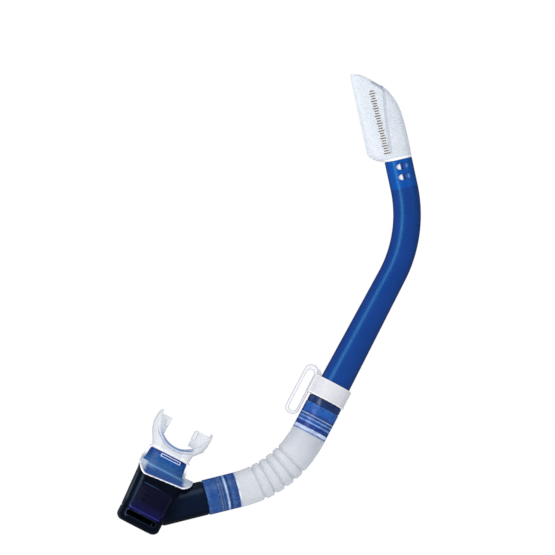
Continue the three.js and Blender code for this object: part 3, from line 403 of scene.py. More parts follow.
def prism(outline, y0, y1):
    """An outline in X and Z made thick from y0 to y1."""
    back = np.column_stack((outline[:, 0], np.full(len(outline), y1), outline[:, 1]))
    front = np.column_stack((outline[:, 0], np.full(len(outline), y0), outline[:, 1]))
    return loft([back, front])


def block(x0, x1, y0, y1, z0, z1):
    outline = np.array(((x0, z0), (x1, z0), (x1, z1), (x0, z1)))
    return prism(outline, y0, y1)


def shift(obj, x=0.0, z=0.0, tilt=0.0):
    """Tilts a working solid about Y, from Z towards X, then moves it."""
    points = coordinates(obj)
    c, s = math.cos(tilt), math.sin(tilt)
    turned_points = np.column_stack((
        points[:, 0] * c + points[:, 2] * s + x,
        points[:, 1],
        points[:, 2] * c - points[:, 0] * s + z,
    ))
    write_coordinates(obj, turned_points)
    return obj


def coordinates(obj):
    flat = np.zeros(len(obj.data.vertices) * 3, np.float32)
    obj.data.vertices.foreach_get("co", flat)
    return flat.reshape(-1, 3).astype(float)


def write_coordinates(obj, points):
    obj.data.vertices.foreach_set("co", np.asarray(points, np.float32).ravel())
    obj.data.update()


def applied(obj):
    depsgraph = bpy.context.evaluated_depsgraph_get()
    fresh = bpy.data.meshes.new_from_object(obj.evaluated_get(depsgraph))
    obj.modifiers.clear()
    old = obj.data
    obj.data = fresh
    bpy.data.meshes.remove(old)
    return obj


def boolean(obj, tool, operation):
    modifier = obj.modifiers.new("boolean", "BOOLEAN")
    modifier.operation = operation
    modifier.solver = "EXACT"
    modifier.object = tool
    applied(obj)
    bpy.data.objects.remove(tool)
    return obj


def cut(obj, *tools):
    for tool in tools:
        boolean(obj, tool, "DIFFERENCE")
    return obj


def join(obj, *tools):
    for tool in tools:
        boolean(obj, tool, "UNION")
    return obj


def common(obj, tool):
    return boolean(obj, tool, "INTERSECT")


def molded(obj, voxel, rounds):
    """Melts the corners of a working solid into small even fillets."""
    remesh = obj.modifiers.new("remesh", "REMESH")
    remesh.mode = "VOXEL"
    remesh.voxel_size = voxel
    smooth = obj.modifiers.new("smooth", "SMOOTH")
    smooth.iterations = rounds
    smooth.factor = 0.5
    return applied(obj)


def beveled(obj, width, angle=40, segments=2):
    modifier = obj.modifiers.new("bevel", "BEVEL")
    modifier.width = width
    modifier.segments = segments
    modifier.limit_method = "ANGLE"
    modifier.angle_limit = math.radians(angle)
    modifier.use_clamp_overlap = True
    return applied(obj)


def settle(obj, name, local, material, body, stands_for, sharp=40, fields=None):
    """Turns a working solid into a named piece: its local coordinates become an attribute."""
    points = coordinates(obj)
    place = obj.data.attributes.new("local", "FLOAT_VECTOR", "POINT")
    place.data.foreach_set("vector", points.astype(np.float32).ravel())
    for field, values in (fields or {}).items():
        attribute = obj.data.attributes.new(field, "FLOAT", "POINT")
        attribute.data.foreach_set("value", np.asarray(values, np.float32))
    write_coordinates(obj, local.out(points))
    obj.name = name
    obj.data.name = name
    obj.data.shade_smooth()
    obj.data.set_sharp_from_angle(angle=math.radians(sharp))
    obj.data.materials.clear()
    obj.data.materials.append(material)
    if body:
        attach(obj, body)
    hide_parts(stands_for)


# ------------------------------------------------------------------ materials


def operator(name, swapped=False):
    """A method that joins two values with a math node."""

    def method(self, other=0.0):
        first, second = (other, self) if swapped else (self, other)
        return self.shader.math(name, first, second)

    return method


class Value:
    """What a node gives out, with the usual operators for numbers."""

    def __init__(self, shader, socket):
        self.shader = shader
        self.socket = socket

    __add__ = operator("ADD")
    __radd__ = operator("ADD", swapped=True)
    __sub__ = operator("SUBTRACT")
    __rsub__ = operator("SUBTRACT", swapped=True)
    __mul__ = operator("MULTIPLY")
    __truediv__ = operator("DIVIDE")
    __pow__ = operator("POWER")
    __lt__ = operator("LESS_THAN")
    __gt__ = operator("GREATER_THAN")
    __abs__ = operator("ABSOLUTE")


class Shader:
    """A material's node tree with short calls for the nodes the pieces use."""

    def __init__(self, name):
        self.material = bpy.data.materials.new(name)
        self.material.use_nodes = True
        self.tree = self.material.node_tree
        self.tree.nodes.clear()
        place = self.node("ShaderNodeTexCoord").outputs["Object"]
        self.coords = self.out("ShaderNodeVectorMath", {0: place, "Scale": 1 / MM}, operation="SCALE")

    def node(self, kind, inputs=None, **settings):
        made = self.tree.nodes.new(kind)
        for key, value in settings.items():
            setattr(made, key, value)
        for key, value in (inputs or {}).items():
            self.feed(made.inputs[key], value)
        return made

    def out(self, kind, inputs=None, output=0, **settings):
        return Value(self, self.node(kind, inputs, **settings).outputs[output])

    def feed(self, socket, value):
        if isinstance(value, Value):
            value = value.socket
        if isinstance(value, bpy.types.NodeSocket):
            self.tree.links.new(value, socket)
        else:
            socket.default_value = value

    def math(self, operation, a, b=0.0, clamp=False):
        return self.out("ShaderNodeMath", {0: a, 1: b}, operation=operation, use_clamp=clamp)

    def most(self, a, b):
        return self.math("MAXIMUM", a, b)

    def root(self, a):
        return self.math("SQRT", a)

    def noise(self, scale, detail=2.0, stretch=None):
        vector = self.coords
        if stretch:
            vector = self.out("ShaderNodeMapping", {"Vector": vector, "Scale": stretch})
        inputs = {"Vector": vector, "Scale": scale, "Detail": detail}
        return self.out("ShaderNodeTexNoise", inputs, "Fac")

    def attribute(self, name):
        return self.out("ShaderNodeAttribute", output="Fac", attribute_name=name)

    def local(self, axis):
        vector = self.out("ShaderNodeAttribute", output="Vector", attribute_name="local")
        return self.out("ShaderNodeSeparateXYZ", {0: vector}, axis)

    def span(self, value, low, high, out_low=0.0, out_high=1.0, smooth=True):
        return self.out(
            "ShaderNodeMapRange",
            {"Value": value, "From Min": low, "From Max": high, "To Min": out_low, "To Max": out_high},
            "Result",
            interpolation_type="SMOOTHSTEP" if smooth else "LINEAR",
        )

    def facing(self, blend=0.5):
        return self.out("ShaderNodeLayerWeight", {"Blend": blend}, "Facing")

    def mix(self, factor, a, b):
        made = self.node("ShaderNodeMix", data_type="RGBA")
        self.feed(made.inputs["Factor"], factor)
        for socket, value in ((made.inputs[6], a), (made.inputs[7], b)):
            self.feed(socket, value if isinstance(value, Value) else (*value, 1.0))
        return Value(self, made.outputs[2])

    def bands(self, value, low, high, stops):
        """Colours at places along a value: stops holds place and colour pairs."""
        share = self.span(value, low, high, smooth=False)
        ramp = self.node("ShaderNodeValToRGB", {"Fac": share})
        elements = ramp.color_ramp.elements
        for index, (place, color) in enumerate(stops):
            position = (place - low) / (high - low)
            element = elements[index] if index < 2 else elements.new(position)
            element.position = position
            element.color = (*color, 1.0)
        return Value(self, ramp.outputs["Color"])

    def bump(self, scale, distance, detail=2.0, stretch=None):
        """Relief from noise of a scale, as deep as distance in metres."""
        inputs = {"Height": self.noise(scale, detail, stretch), "Distance": distance, "Strength": 1.0}
        return self.out("ShaderNodeBump", inputs, "Normal")

    def surface(self, shader):
        self.node("ShaderNodeOutputMaterial", {"Surface": shader})
        return self.material

    def lit(self, color, roughness, normal, level):
        return {"Base Color": color, "Roughness": roughness, "Normal": normal, "Specular IOR Level": level}

    def plastic(self, color, roughness, normal, level=0.5, more=None):
        """The finished material of an opaque piece."""
        inputs = self.lit(color, roughness, normal, level)
        return self.surface(self.out("ShaderNodeBsdfPrincipled", {**inputs, **(more or {})}))

    def see_through(self, color, opacity, roughness, normal, tint):
        """The finished material of a clear piece: a lit surface mixed with a clear one."""
        lit = self.out("ShaderNodeBsdfPrincipled", self.lit(color, roughness, normal, 0.35))
        clear = self.out("ShaderNodeBsdfTransparent", {"Color": (*tint, 1.0)})
        return self.surface(self.out("ShaderNodeMixShader", {0: opacity, 1: clear, 2: lit}))


def rgb(red, green, blue):
    """A display colour of 0 to 255 as linear light."""

    def linear(value):
        value /= 255
        return value / 12.92 if value <= 0.04045 else ((value + 0.055) / 1.055) ** 2.4

    return tuple(linear(channel) for channel in (red, green, blue))


def tube_blue():
    """Blue tube: deeper at its edges, where the eye looks through more plastic."""
    s = Shader("tube_blue")
    cloud = s.noise(0.05, 2.0)
    body = s.mix(cloud, rgb(18, 52, 122), rgb(28, 62, 136))
    # Painted light: the top 26 mm, where the sleeve sits inside, is painted a brighter blue for the light
    # the sleeve throws back through the wall
    top = s.span(s.attribute("below"), -26.8, -25.8)
    body = s.mix(top, body, rgb(18, 72, 154))
    edge = s.facing(0.42) ** 2.0
    color = s.mix(edge, body, rgb(8, 16, 66))
    flow = s.bump(0.3, 0.00003, stretch=(1, 1, 0.12))
    more = {"IOR": 1.38, "Specular Tint": (0.15, 0.7, 1.0, 1.0)}
    return s.plastic(color, s.span(s.noise(0.5), 0.3, 0.7, 0.22, 0.3), flow, 0.8, more)


def coupler_blue(name, length, stops):
    """Translucent blue socket with painted highlights: pale where a rib or an edge gathers light."""
    s = Shader(name)
    color = s.bands(s.local(2), 0.0, length, stops)
    edge = s.facing(0.4) ** 1.5
    color = s.mix(edge, color, rgb(30, 40, 100))
    color = s.mix(s.noise(0.25, 3.0) * 0.35, color, rgb(60, 104, 180))
    return s.plastic(color, s.span(s.noise(1.1), 0.3, 0.7, 0.18, 0.3), s.bump(2.0, 0.00001), 0.4)


def frosted(s, tones, edge_tone):
    """A cloudy tone that turns to another one where the surface grazes the eye."""
    cloud = s.noise(0.16, 3.0)
    edge = s.facing(0.35) ** 1.8
    return s.mix(edge, s.mix(cloud, *tones), edge_tone), cloud, edge


def hose_silicone():
    """Frosty silicone whose cuffs are filled by the blue of the couplers inside them."""
    s = Shader("hose_silicone")
    along = s.attribute("along")
    color, cloud, edge = frosted(s, (rgb(218, 221, 226), rgb(232, 234, 237)), rgb(192, 197, 208))
    color = s.mix(s.span(s.noise(0.9, 3.0), 0.35, 0.65) * 0.18, color, rgb(180, 186, 198))
    near_top = s.span(along, HOSE_UPPER_END - 34.0, HOSE_UPPER_END)
    color = s.mix(near_top * 0.35, color, rgb(176, 186, 202))
    # The cuffs take the couplers' colour bands, painted highlights and painted shade included
    upper = s.bands(along - HOSE_UPPER_END, 0.0, COUPLER_LENGTH, UPPER_STOPS)
    lower = s.bands(HOSE_LOWER_END - along, 0.0, COUPLER_LENGTH, LOWER_STOPS)
    filled = s.mix(along > HOSE_UPPER_END / 2, lower, upper)
    patches = s.span(s.noise(0.22, 4.0), 0.42, 0.62)
    filled = s.mix(patches * 0.45, filled, rgb(16, 56, 128))
    filled = s.mix(s.span(s.noise(0.5, 4.0), 0.56, 0.64) * 0.35, filled, rgb(76, 130, 202))
    filled = s.mix(edge * 0.7, filled, rgb(18, 56, 140))
    frost = s.attribute("frost")
    color = s.mix(frost, filled, color)
    opacity = s.span(frost, 0.0, 1.0, 0.88, 0.62, smooth=False)
    opacity = s.math("ADD", opacity, edge * 0.25, clamp=True)
    grain = s.bump(1.2, 0.00003)
    return s.see_through(color, opacity, s.span(cloud, 0.3, 0.7, 0.3, 0.42), grain, (0.97, 0.98, 1.0))


def mouth_silicone():
    """Clear silicone: milky lips, a clear boot over the neck and a skirt that shows the neck's blue."""
    s = Shader("mouth_silicone")
    x, z = s.local(0), s.local(2)
    color, cloud, edge = frosted(s, (rgb(218, 221, 227), rgb(231, 233, 237)), rgb(204, 209, 218))
    wide = abs(x - (SKIRT_REACH - 1.6))
    blue = s.mix(s.noise(0.2, 3.0), rgb(44, 96, 160), rgb(66, 116, 174))
    ends = rgb(190, 198, 212)
    skirt_tone = s.mix(s.span(wide, 17.0, 21.0), blue, ends)
    skirt = s.span(z, NECK_LOW + 0.8, NECK_LOW - 0.8)
    shelf = s.span(z, NECK_LOW - 2.6, NECK_LOW - 2.2) * s.span(z, NECK_LOW - 1.4, NECK_LOW - 1.8)
    skirt_tone = s.mix(shelf * 0.5, skirt_tone, rgb(140, 182, 206))
    deep = s.span(z, NECK_LOW - 2.4, NECK_LOW - 4.0) * s.span(wide, 21.0, 16.0)
    skirt_tone = s.mix(deep * 0.7, skirt_tone, rgb(36, 70, 136))
    mist = s.span(z, NECK_LOW + 8.5, NECK_LOW + 0.5)
    color = s.mix(s.span(z, NECK_HIGH - 0.2, NECK_HIGH - 1.0), color, blue)
    color = s.mix(skirt, color, skirt_tone)
    color = s.mix(s.attribute("hem") * s.span(wide, 23.0, 18.0), color, rgb(44, 62, 138))
    lips = s.span(z, NECK_HIGH - 0.4, NECK_HIGH + 0.6)
    root = lips * s.span(z, NECK_HIGH + 4.0, NECK_HIGH + 1.6)
    color = s.mix(root, color, rgb(250, 251, 253))
    across = x - SHIELD_CENTRE[0]
    along = z - SHIELD_CENTRE[1]
    away = s.root(across * across + along * along)
    lines = s.bands(away, SHIELD_RADIUS, SHIELD_RADIUS + 5.0, (
        (SHIELD_RADIUS, (0.5, 0.5, 0.5)), (SHIELD_RADIUS + 0.9, (1.0, 1.0, 1.0)),
        (SHIELD_RADIUS + 1.5, (0.9, 0.9, 0.9)), (SHIELD_RADIUS + 2.2, (0.08, 0.08, 0.08)),
        (SHIELD_RADIUS + 3.0, (0.08, 0.08, 0.08)), (SHIELD_RADIUS + 3.6, (0.75, 0.75, 0.75)),
        (SHIELD_RADIUS + 4.4, (0.0, 0.0, 0.0)), (SHIELD_RADIUS + 5.0, (0.0, 0.0, 0.0)),
    ))
    lines = lines * s.span(z, 84.0, 72.0) * s.span(x, 18.0, 14.0)
    color = s.mix(lines, color, rgb(62, 112, 172))
    color = s.mix(s.attribute("rim"), color, rgb(250, 251, 253))
    opacity = 0.008 + lips * 0.5
    opacity = s.most(opacity, mist * 0.4)
    opacity = s.most(opacity, skirt * 0.8)
    opacity = s.most(opacity, root * 0.6)
    edge = edge * s.most(lips, skirt)
    opacity = s.math("ADD", opacity, edge * 0.2, clamp=True)
    opacity = s.most(opacity, s.most(s.attribute("rim"), lines * 0.9))
    grain = s.bump(0.4, 0.00002)
    return s.see_through(color, opacity, s.span(cloud, 0.3, 0.7, 0.26, 0.4), grain, (0.985, 0.99, 1.0))


def hood_clear(printed, wall=False):
    """Clear moulded plastic; printed puts a rule of plain gold ticks on it."""
    s = Shader("hood_printed" if printed else "hood_wall" if wall else "hood_plain")
    cloud = s.noise(0.09, 3.0)
    color = s.mix(cloud, rgb(226, 231, 236), rgb(242, 244, 247))
    if wall:
        color = s.mix(cloud, rgb(170, 184, 216), rgb(200, 210, 232))
    edge = s.facing(0.3) ** 1.4
    color = s.mix(edge, color, rgb(206, 212, 224))
    x, y, z = s.local(0), s.local(1), s.local(2)
    foot = s.span(z, 2.0, 2.5, 1.0, 0.0)
    color = s.mix(foot, color, rgb(250, 251, 253))
    opacity = s.math("ADD", 0.4 if wall else 0.3, edge * 0.45, clamp=True)
    opacity = s.most(opacity, foot * 0.9)
    slit = s.span(abs(y), 3.4, 2.7) * (z > 60.0)
    slit = slit * s.span(x, -10.2, -8.6) * s.span(x, 1.0, -0.4)
    color = s.mix(slit, color, rgb(128, 138, 170))
    opacity = s.most(opacity, slit * 0.75)
    if printed:
        across = x - s.span(z, 8.0, 66.0, -9.9, -11.2, smooth=False)
        place = z / 2.35
        tick = s.math("FRACT", place)
        longer = s.math("FRACT", place / 3.0) < 0.3333
        reach = 1.9 + longer * 0.8
        strip = abs(across) < reach
        inside = (z > 7.1) * (z < 68.0)
        bar = abs(tick - 0.5) < 0.2
        ink = strip * inside * bar
        color = s.mix(ink, color, rgb(104, 86, 54))
        opacity = s.most(opacity, ink)
    grain = s.bump(0.3, 0.00004)
    return s.see_through(color, opacity, 0.18, grain, (0.97, 0.985, 1.0))


def sleeve_painted_light():
    """The inner tube, mostly painted light: white on its lit side, the barrel's blue on the other, with a
    painted dark shade band, a painted pale-blue highlight and a faint painted glow.
    """
    s = Shader("sleeve_painted_light")
    # Painted light: white on the lit side, blue on the other, a painted dark shade band between them, a
    # painted pale-blue highlight further along and a faint painted glow
    side = s.span(s.local(0), -1.6, 1.2)
    low = s.span(s.local(2), 0.0, 1.0)
    blue = s.mix(s.noise(0.3), rgb(24, 70, 160), rgb(36, 92, 180))
    dark = s.span(s.local(0), -0.6, 0.4) * s.span(s.local(0), 2.8, 1.8)
    blue = s.mix(s.span(s.local(0), 4.2, 5.6), blue, rgb(126, 178, 226))
    color = s.mix(side, rgb(250, 251, 253), blue)
    color = s.mix(dark * 0.8, color, rgb(14, 34, 84))
    color = s.mix(low, color, rgb(240, 243, 248))
    glow = {"Emission Color": color, "Emission Strength": 0.25}
    return s.plastic(color, 0.3, s.bump(2.0, 0.00005), 0.3, glow)


def keeper_white():
    """Fine-grained white nylon, a little greyer on the thin strap loop."""
    s = Shader("keeper_white")
    color = s.mix(s.noise(0.4, 3.0), rgb(200, 200, 205), rgb(216, 216, 220))
    loop = s.span(s.local(0), -19.4, -21.0)
    color = s.mix(loop, color, rgb(226, 227, 231))
    # Painted highlight: the sleeve's top edge and lower rim are painted near white
    rim_highlight = s.attribute("rim")
    color = s.mix(rim_highlight, color, rgb(252, 252, 254))
    edge = s.facing(0.35) ** 1.6
    color = s.mix(edge * 0.5, color, rgb(188, 190, 200))
    grain = s.bump(3.0, 0.00003, detail=3.0)
    more = {"Subsurface Weight": 0.1, "Subsurface Scale": 0.001}
    return s.plastic(color, s.span(s.noise(2.0), 0.3, 0.7, 0.42, 0.55), grain, 0.35, more)


def chamber_dark(name, glow):
    """Smoky navy plastic, near black; glow paints light on the strip above the cover's joint, with a
    painted reflection on the arm and a painted highlight down the left flank; on the cover a painted lit
    outline runs round the outlet slot.
    """
    s = Shader(name)
    color = s.mix(s.noise(0.06, 2.0), rgb(2, 4, 13), rgb(6, 10, 26))
    edge = s.facing(0.3) ** 2.0
    color = s.mix(edge, color, rgb(14, 24, 46))
    x, z = s.local(0), s.local(2)
    if glow:
        # Painted glow: a violet strip above the cover's joint
        strip = s.span(z, 0.2, 1.0) * s.span(z, 3.8, 2.2)
        front = s.span(s.local(1), -15.5, -16.6) * s.span(x, 20.0, 14.0)
        color = s.mix(strip * front * 0.8, color, rgb(38, 34, 112))
        # Painted reflection: a blue sheen on the arm's front
        arm_reflection = s.span(x, 20.0, 34.0) * s.span(s.local(1), -9.0, -14.0)
        color = s.mix(arm_reflection * 0.28, color, rgb(18, 34, 66))
        # Painted highlight: a grey-blue line down the left flank
        lean = x + z * ((CHAMBER_TOP_HALF - CHAMBER_HALF) / ROOF_RIDGE)
        flank_highlight = s.span(lean, -17.9, -18.9) * s.span(s.local(1), -1.0, -4.0)
        flank_highlight = flank_highlight * s.span(z, 3.0, 9.0) * s.span(z, 38.0, 30.0)
        color = s.mix(flank_highlight * 0.75, color, rgb(58, 70, 84))
    else:
        past = s.most(abs(x) - (OUTLET_LENGTH - OUTLET_HEIGHT) / 2, 0.0)
        rise = z + OUTLET_BELOW
        away = s.root(past * past + rise * rise)
        lit = s.span(away, OUTLET_HEIGHT / 2 + 1.0, OUTLET_HEIGHT / 2 + 0.3) * (s.local(1) < -14.0)
        color = s.mix(lit * 0.5, color, rgb(34, 44, 66))
    more = {"IOR": 1.4, "Specular Tint": (0.5, 0.75, 1.0, 1.0)}
    return s.plastic(color, s.span(s.noise(0.7), 0.3, 0.7, 0.24, 0.34), s.bump(0.12, 0.00002), 0.4, more)


def panel_navy():
    """Deep violet blue, with a painted highlight: a lighter line along the frame's left and top."""
    s = Shader("panel_navy")
    x = s.local(0) - PANEL_SHIFT
    z = s.local(2) - PANEL_MIDDLE
    color = s.mix(s.span(z, -3.0, -PANEL_HEIGHT / 2), rgb(8, 9, 38), rgb(16, 16, 72))
    color = s.mix(s.noise(0.25, 3.0) * 0.5, color, rgb(5, 8, 28))
    # Painted highlight along the frame's left and top
    left = s.span(x, 1.4 - PANEL_LENGTH / 2, 0.9 - PANEL_LENGTH / 2)
    top = s.span(z, PANEL_HEIGHT / 2 - 1.4, PANEL_HEIGHT / 2 - 0.9) * s.span(x, 8.0, -8.0)
    color = s.mix(s.most(left, top) * 0.8, color, rgb(30, 58, 92))
    return s.plastic(color, 0.38, s.bump(2.0, 0.00002), 0.2, {"IOR": 1.4})


def neck_blue():
    s = Shader("neck_blue")
    x, z = s.local(0), s.local(2)
    color = s.mix(s.noise(0.12, 3.0), rgb(10, 68, 136), rgb(26, 86, 152))
    color = s.mix(s.span(z, NECK_HIGH - 4.5, NECK_HIGH - 1.0), color, rgb(6, 50, 132))
    color = s.mix(s.span(z, NECK_LOW + 3.0, NECK_LOW + 1.0), color, rgb(40, 84, 148))
    window_x = abs(x - WINDOW[0]) - WINDOW[2]
    window_z = abs(z - WINDOW[1]) - WINDOW[3]
    outline = abs(s.most(window_x, window_z))
    front = s.local(1) < 0.0
    sunk = s.most(window_x, window_z) < 0.0
    color = s.mix(front * sunk, color, rgb(30, 34, 112))
    # Painted highlight: a pale line along the window's edge
    color = s.mix(front * s.span(outline, 0.55, 0.3), color, rgb(196, 214, 244))
    teeth = s.math("FRACT", z / 2.4) < 0.36
    teeth = teeth * s.span(z, 49.6, 50.2) * s.span(z, 58.0, 57.4)
    teeth = teeth * s.span(x, -14.4, -15.4)
    color = s.mix(teeth, color, rgb(6, 16, 60))
    edge = s.facing(0.35) ** 1.5
    color = s.mix(edge, color, rgb(24, 54, 128))
    return s.plastic(color, 0.25, s.bump(1.5, 0.00005), 0.4)


def plain(name, dark, light, roughness):
    """Fine-grained plastic or rubber between two tones."""
    scale = 0.6
    s = Shader(name)
    color = s.mix(s.noise(scale, 3.0), dark, light)
    gloss = s.span(s.noise(scale * 3), 0.3, 0.7, roughness, roughness + 0.12)
    return s.plastic(color, gloss, s.bump(scale * 6, 0.00005))


def floor_pale():
    s = Shader("floor_pale")
    color = s.mix(s.noise(0.01, 2.0), rgb(244, 244, 244), rgb(250, 250, 250))
    inputs = {"Base Color": color, "Roughness": 0.7, "Specular IOR Level": 0.1}
    glow = {"Emission Color": (1.0, 1.0, 1.0, 1.0), "Emission Strength": 0.36}
    return s.surface(s.out("ShaderNodeBsdfPrincipled", {**inputs, **glow}))


MID = rgb(26, 84, 168)
DEEP = rgb(12, 46, 118)
PALE_HIGHLIGHT = rgb(176, 202, 232)
NAVY = rgb(10, 20, 60)

# From the free end in the hose up to the collar under the keeper. The pale stops are painted highlights
# where a rib or an edge gathers light, and the navy at the collar is partly its own colour and partly
# painted shade under the keeper
UPPER_STOPS = (
    (0.0, rgb(120, 142, 184)), (1.3, rgb(116, 140, 186)), (1.9, rgb(222, 234, 252)),
    (4.2, rgb(205, 224, 252)), (4.8, DEEP), (8.0, rgb(20, 56, 140)), (8.8, rgb(50, 92, 176)),
    (9.4, PALE_HIGHLIGHT), (10.2, MID), (12.4, MID), (13.0, PALE_HIGHLIGHT), (13.8, MID), (15.2, DEEP),
    (16.0, PALE_HIGHLIGHT), (16.8, DEEP), (18.2, rgb(22, 68, 152)), (19.6, rgb(30, 88, 176)),
    (22.0, rgb(28, 88, 170)), (26.0, rgb(36, 96, 178)), (27.0, rgb(74, 122, 192)), (27.5, NAVY),
    (COUPLER_LENGTH, rgb(8, 14, 46)),
)
# The lower coupler's colours from its free end in the hose; its pale stops are painted highlights too
LOWER_STOPS = (
    (0.0, rgb(236, 242, 250)), (1.2, rgb(226, 236, 248)), (1.9, DEEP), (4.0, rgb(30, 68, 128)),
    (6.4, rgb(52, 88, 142)), (8.0, rgb(58, 104, 156)), (9.4, DEEP), (11.0, rgb(26, 54, 104)), (11.6, PALE_HIGHLIGHT),
    (12.8, PALE_HIGHLIGHT), (13.4, rgb(60, 96, 142)), (15.2, DEEP), (16.0, rgb(84, 116, 158)),
    (17.2, rgb(34, 62, 108)), (18.4, rgb(88, 118, 160)), (19.6, rgb(44, 78, 126)),
    (22.0, rgb(44, 86, 148)), (26.0, rgb(34, 78, 144)), (30.2, rgb(48, 88, 150)),
    (31.0, rgb(58, 98, 162)), (COUPLER_LENGTH, rgb(70, 110, 172)),
)

TUBE_BLUE = tube_blue()
HOOD_PRINTED = hood_clear(True)
HOOD_PLAIN = hood_clear(False)
SLEEVE_PAINTED_LIGHT = sleeve_painted_light()
KEEPER_WHITE = keeper_white()
CHAMBER_DARK = chamber_dark("chamber_dark", True)
COVER_DARK = chamber_dark("cover_dark", False)
PANEL_NAVY = panel_navy()
NECK_BLUE = neck_blue()
HOOD_WALL_TINT = hood_clear(False, wall=True)
HOSE_SILICONE = hose_silicone()
MOUTH_SILICONE = mouth_silicone()
FLAP_SILICONE = plain("flap_silicone", rgb(196, 200, 208), rgb(220, 223, 228), 0.35)
SEAL_BLACK = plain("seal_black", rgb(20, 20, 24), rgb(38, 38, 44), 0.5)
ACETAL_WHITE = plain("acetal_white", rgb(218, 218, 212), rgb(238, 238, 234), 0.35)
SEAT_DARK = plain("seat_dark", rgb(14, 18, 32), rgb(26, 32, 52), 0.3)

# ------------------------------------------------------------------ barrel


def barrel_half(length):
    share = np.clip((length - BARREL_FOOT) / (BARREL_STRAIGHT - BARREL_FOOT), 0, 1)
    return tuple(a + (b - a) * share for a, b in zip(BARREL_FOOT_HALF, BARREL_TOP_HALF))


BARREL_PATH = bent_path(BARREL_STRAIGHT, BARREL_BEND_RADIUS, math.radians(BARREL_TURN))
BARREL_BEND_END = BARREL_STRAIGHT + BARREL_BEND_RADIUS * math.radians(BARREL_TURN)
BARREL_LENGTH = BARREL_BEND_END + BARREL_TOP_STRAIGHT
HOOD = BARREL.moved(*BARREL_PATH(BARREL_LENGTH))


def barrel_ring(length, inset):
    half_x, half_y = barrel_half(length)
    return placed(oval(half_x - inset, half_y - inset), BARREL_PATH(length))


def spigot_profile(foot):
    """The spigot's outside from its free end up to its foot."""
    end = foot - SPIGOT_LENGTH
    oring = end + ORING_FROM_END
    snap = end + SNAP_FROM_END
    floor = SNAP_RADIUS - SNAP_DEPTH - GAP - 0.5
    shelf = SPIGOT_RADIUS - ORING_THICK
    return [
        (SPIGOT_RADIUS - 0.4, end), (SPIGOT_RADIUS, end + 0.4), (SPIGOT_RADIUS, snap - GAP),
        (floor, snap - GAP), (floor, snap + SNAP_HEIGHT + GAP),
        (SPIGOT_RADIUS, snap + SNAP_HEIGHT + GAP), (SPIGOT_RADIUS, oring - ORING_THICK - GAP),
        (shelf, oring - ORING_THICK - GAP), (shelf, oring + ORING_THICK + GAP),
        (SPIGOT_RADIUS, oring + ORING_THICK + GAP), (SPIGOT_RADIUS, foot),
    ]


def barrel_piece():
    lip = 0.5
    rings = [upright(oval(r, r), z) for r, z in spigot_profile(BARREL_FOOT)]
    rings.append(barrel_ring(BARREL_FOOT, lip))
    lengths = list(np.linspace(BARREL_FOOT + lip, BARREL_STRAIGHT, 24))
    lengths += list(np.linspace(BARREL_STRAIGHT, BARREL_BEND_END, 36))[1:]
    lengths += list(np.linspace(BARREL_BEND_END, BARREL_LENGTH - lip, 8))[1:]
    rings += [barrel_ring(length, 0.0) for length in lengths]
    rings.append(barrel_ring(BARREL_LENGTH, lip))
    rings.append(barrel_ring(BARREL_LENGTH, BARREL_WALL))
    shoulder = BARREL_FOOT + 6
    inner = [length for length in reversed(lengths) if length > shoulder + 2] + [shoulder]
    rings += [barrel_ring(length, BARREL_WALL) for length in inner]
    rings.append(upright(oval(SPIGOT_BORE, SPIGOT_BORE), shoulder))
    rings.append(upright(oval(SPIGOT_BORE, SPIGOT_BORE), BARREL_FOOT - SPIGOT_LENGTH))
    barrel = loft(rings, closed=True)
    x, z, tilt = BARREL_PATH(BARREL_LENGTH)
    for below in SLOTS_BELOW_TOP:
        outline = oval(SLOT_LENGTH / 2, SLOT_HEIGHT / 2, count=36)
        outline += (SLOT_SHIFT, -below)
        cut(barrel, shift(prism(outline, -BEYOND, BEYOND), x, z, tilt))
    beveled(barrel, 0.5, 60)
    points = coordinates(barrel)
    fields = {"below": (points[:, 0] - x) * math.sin(tilt) + (points[:, 2] - z) * math.cos(tilt)}
    settle(barrel, "barrel_tube", BARREL, TUBE_BLUE, "upper_tube", "barrel", fields=fields)


def sleeve_piece():
    inside = [half - BARREL_WALL for half in BARREL_TOP_HALF]

    def ring(inset, z):
        return upright(oval(inside[0] - inset, inside[1] - inset), z)

    rings = [
        ring(GAP + 0.3, -SLEEVE_BELOW), ring(GAP, -SLEEVE_BELOW + 0.3), ring(GAP, -SLEEVE_BELOW + 1.2),
        ring(GUTTER * 0.8, -SLEEVE_BELOW + SLEEVE_FLARE * 0.7), ring(GUTTER, -SLEEVE_BELOW + SLEEVE_FLARE),
        ring(GUTTER, SLEEVE_ABOVE - 0.3), ring(GUTTER + 0.3, SLEEVE_ABOVE),
        ring(GUTTER + SLEEVE_WALL - 0.3, SLEEVE_ABOVE), ring(GUTTER + SLEEVE_WALL, SLEEVE_ABOVE - 0.3),
        ring(GUTTER + SLEEVE_WALL, -SLEEVE_BELOW),
    ]
    sleeve = loft(rings, closed=True)
    settle(sleeve, "inner_drain_sleeve", HOOD, SLEEVE_PAINTED_LIGHT, "upper_tube", "drain_sleeve")


# ------------------------------------------------------------------ hood


def hood_edge(share):
    """The hood's right edge, a smooth curve through its points."""
    place = share * (len(HOOD_EDGE) - 1)
    index = min(int(place), len(HOOD_EDGE) - 2)
    t = place - index
    p0, p1 = HOOD_EDGE[max(index - 1, 0)], HOOD_EDGE[index]
    p2, p3 = HOOD_EDGE[index + 1], HOOD_EDGE[min(index + 2, len(HOOD_EDGE) - 1)]
    result = []
    for a, b, c, d in zip(p0, p1, p2, p3):
        v0, v1 = (c - a) / 2, (d - b) / 2
        result.append((2 * b - 2 * c + v0 + v1) * t**3 + (3 * c - 3 * b - 2 * v0 - v1) * t**2 + v0 * t + b)
    return result


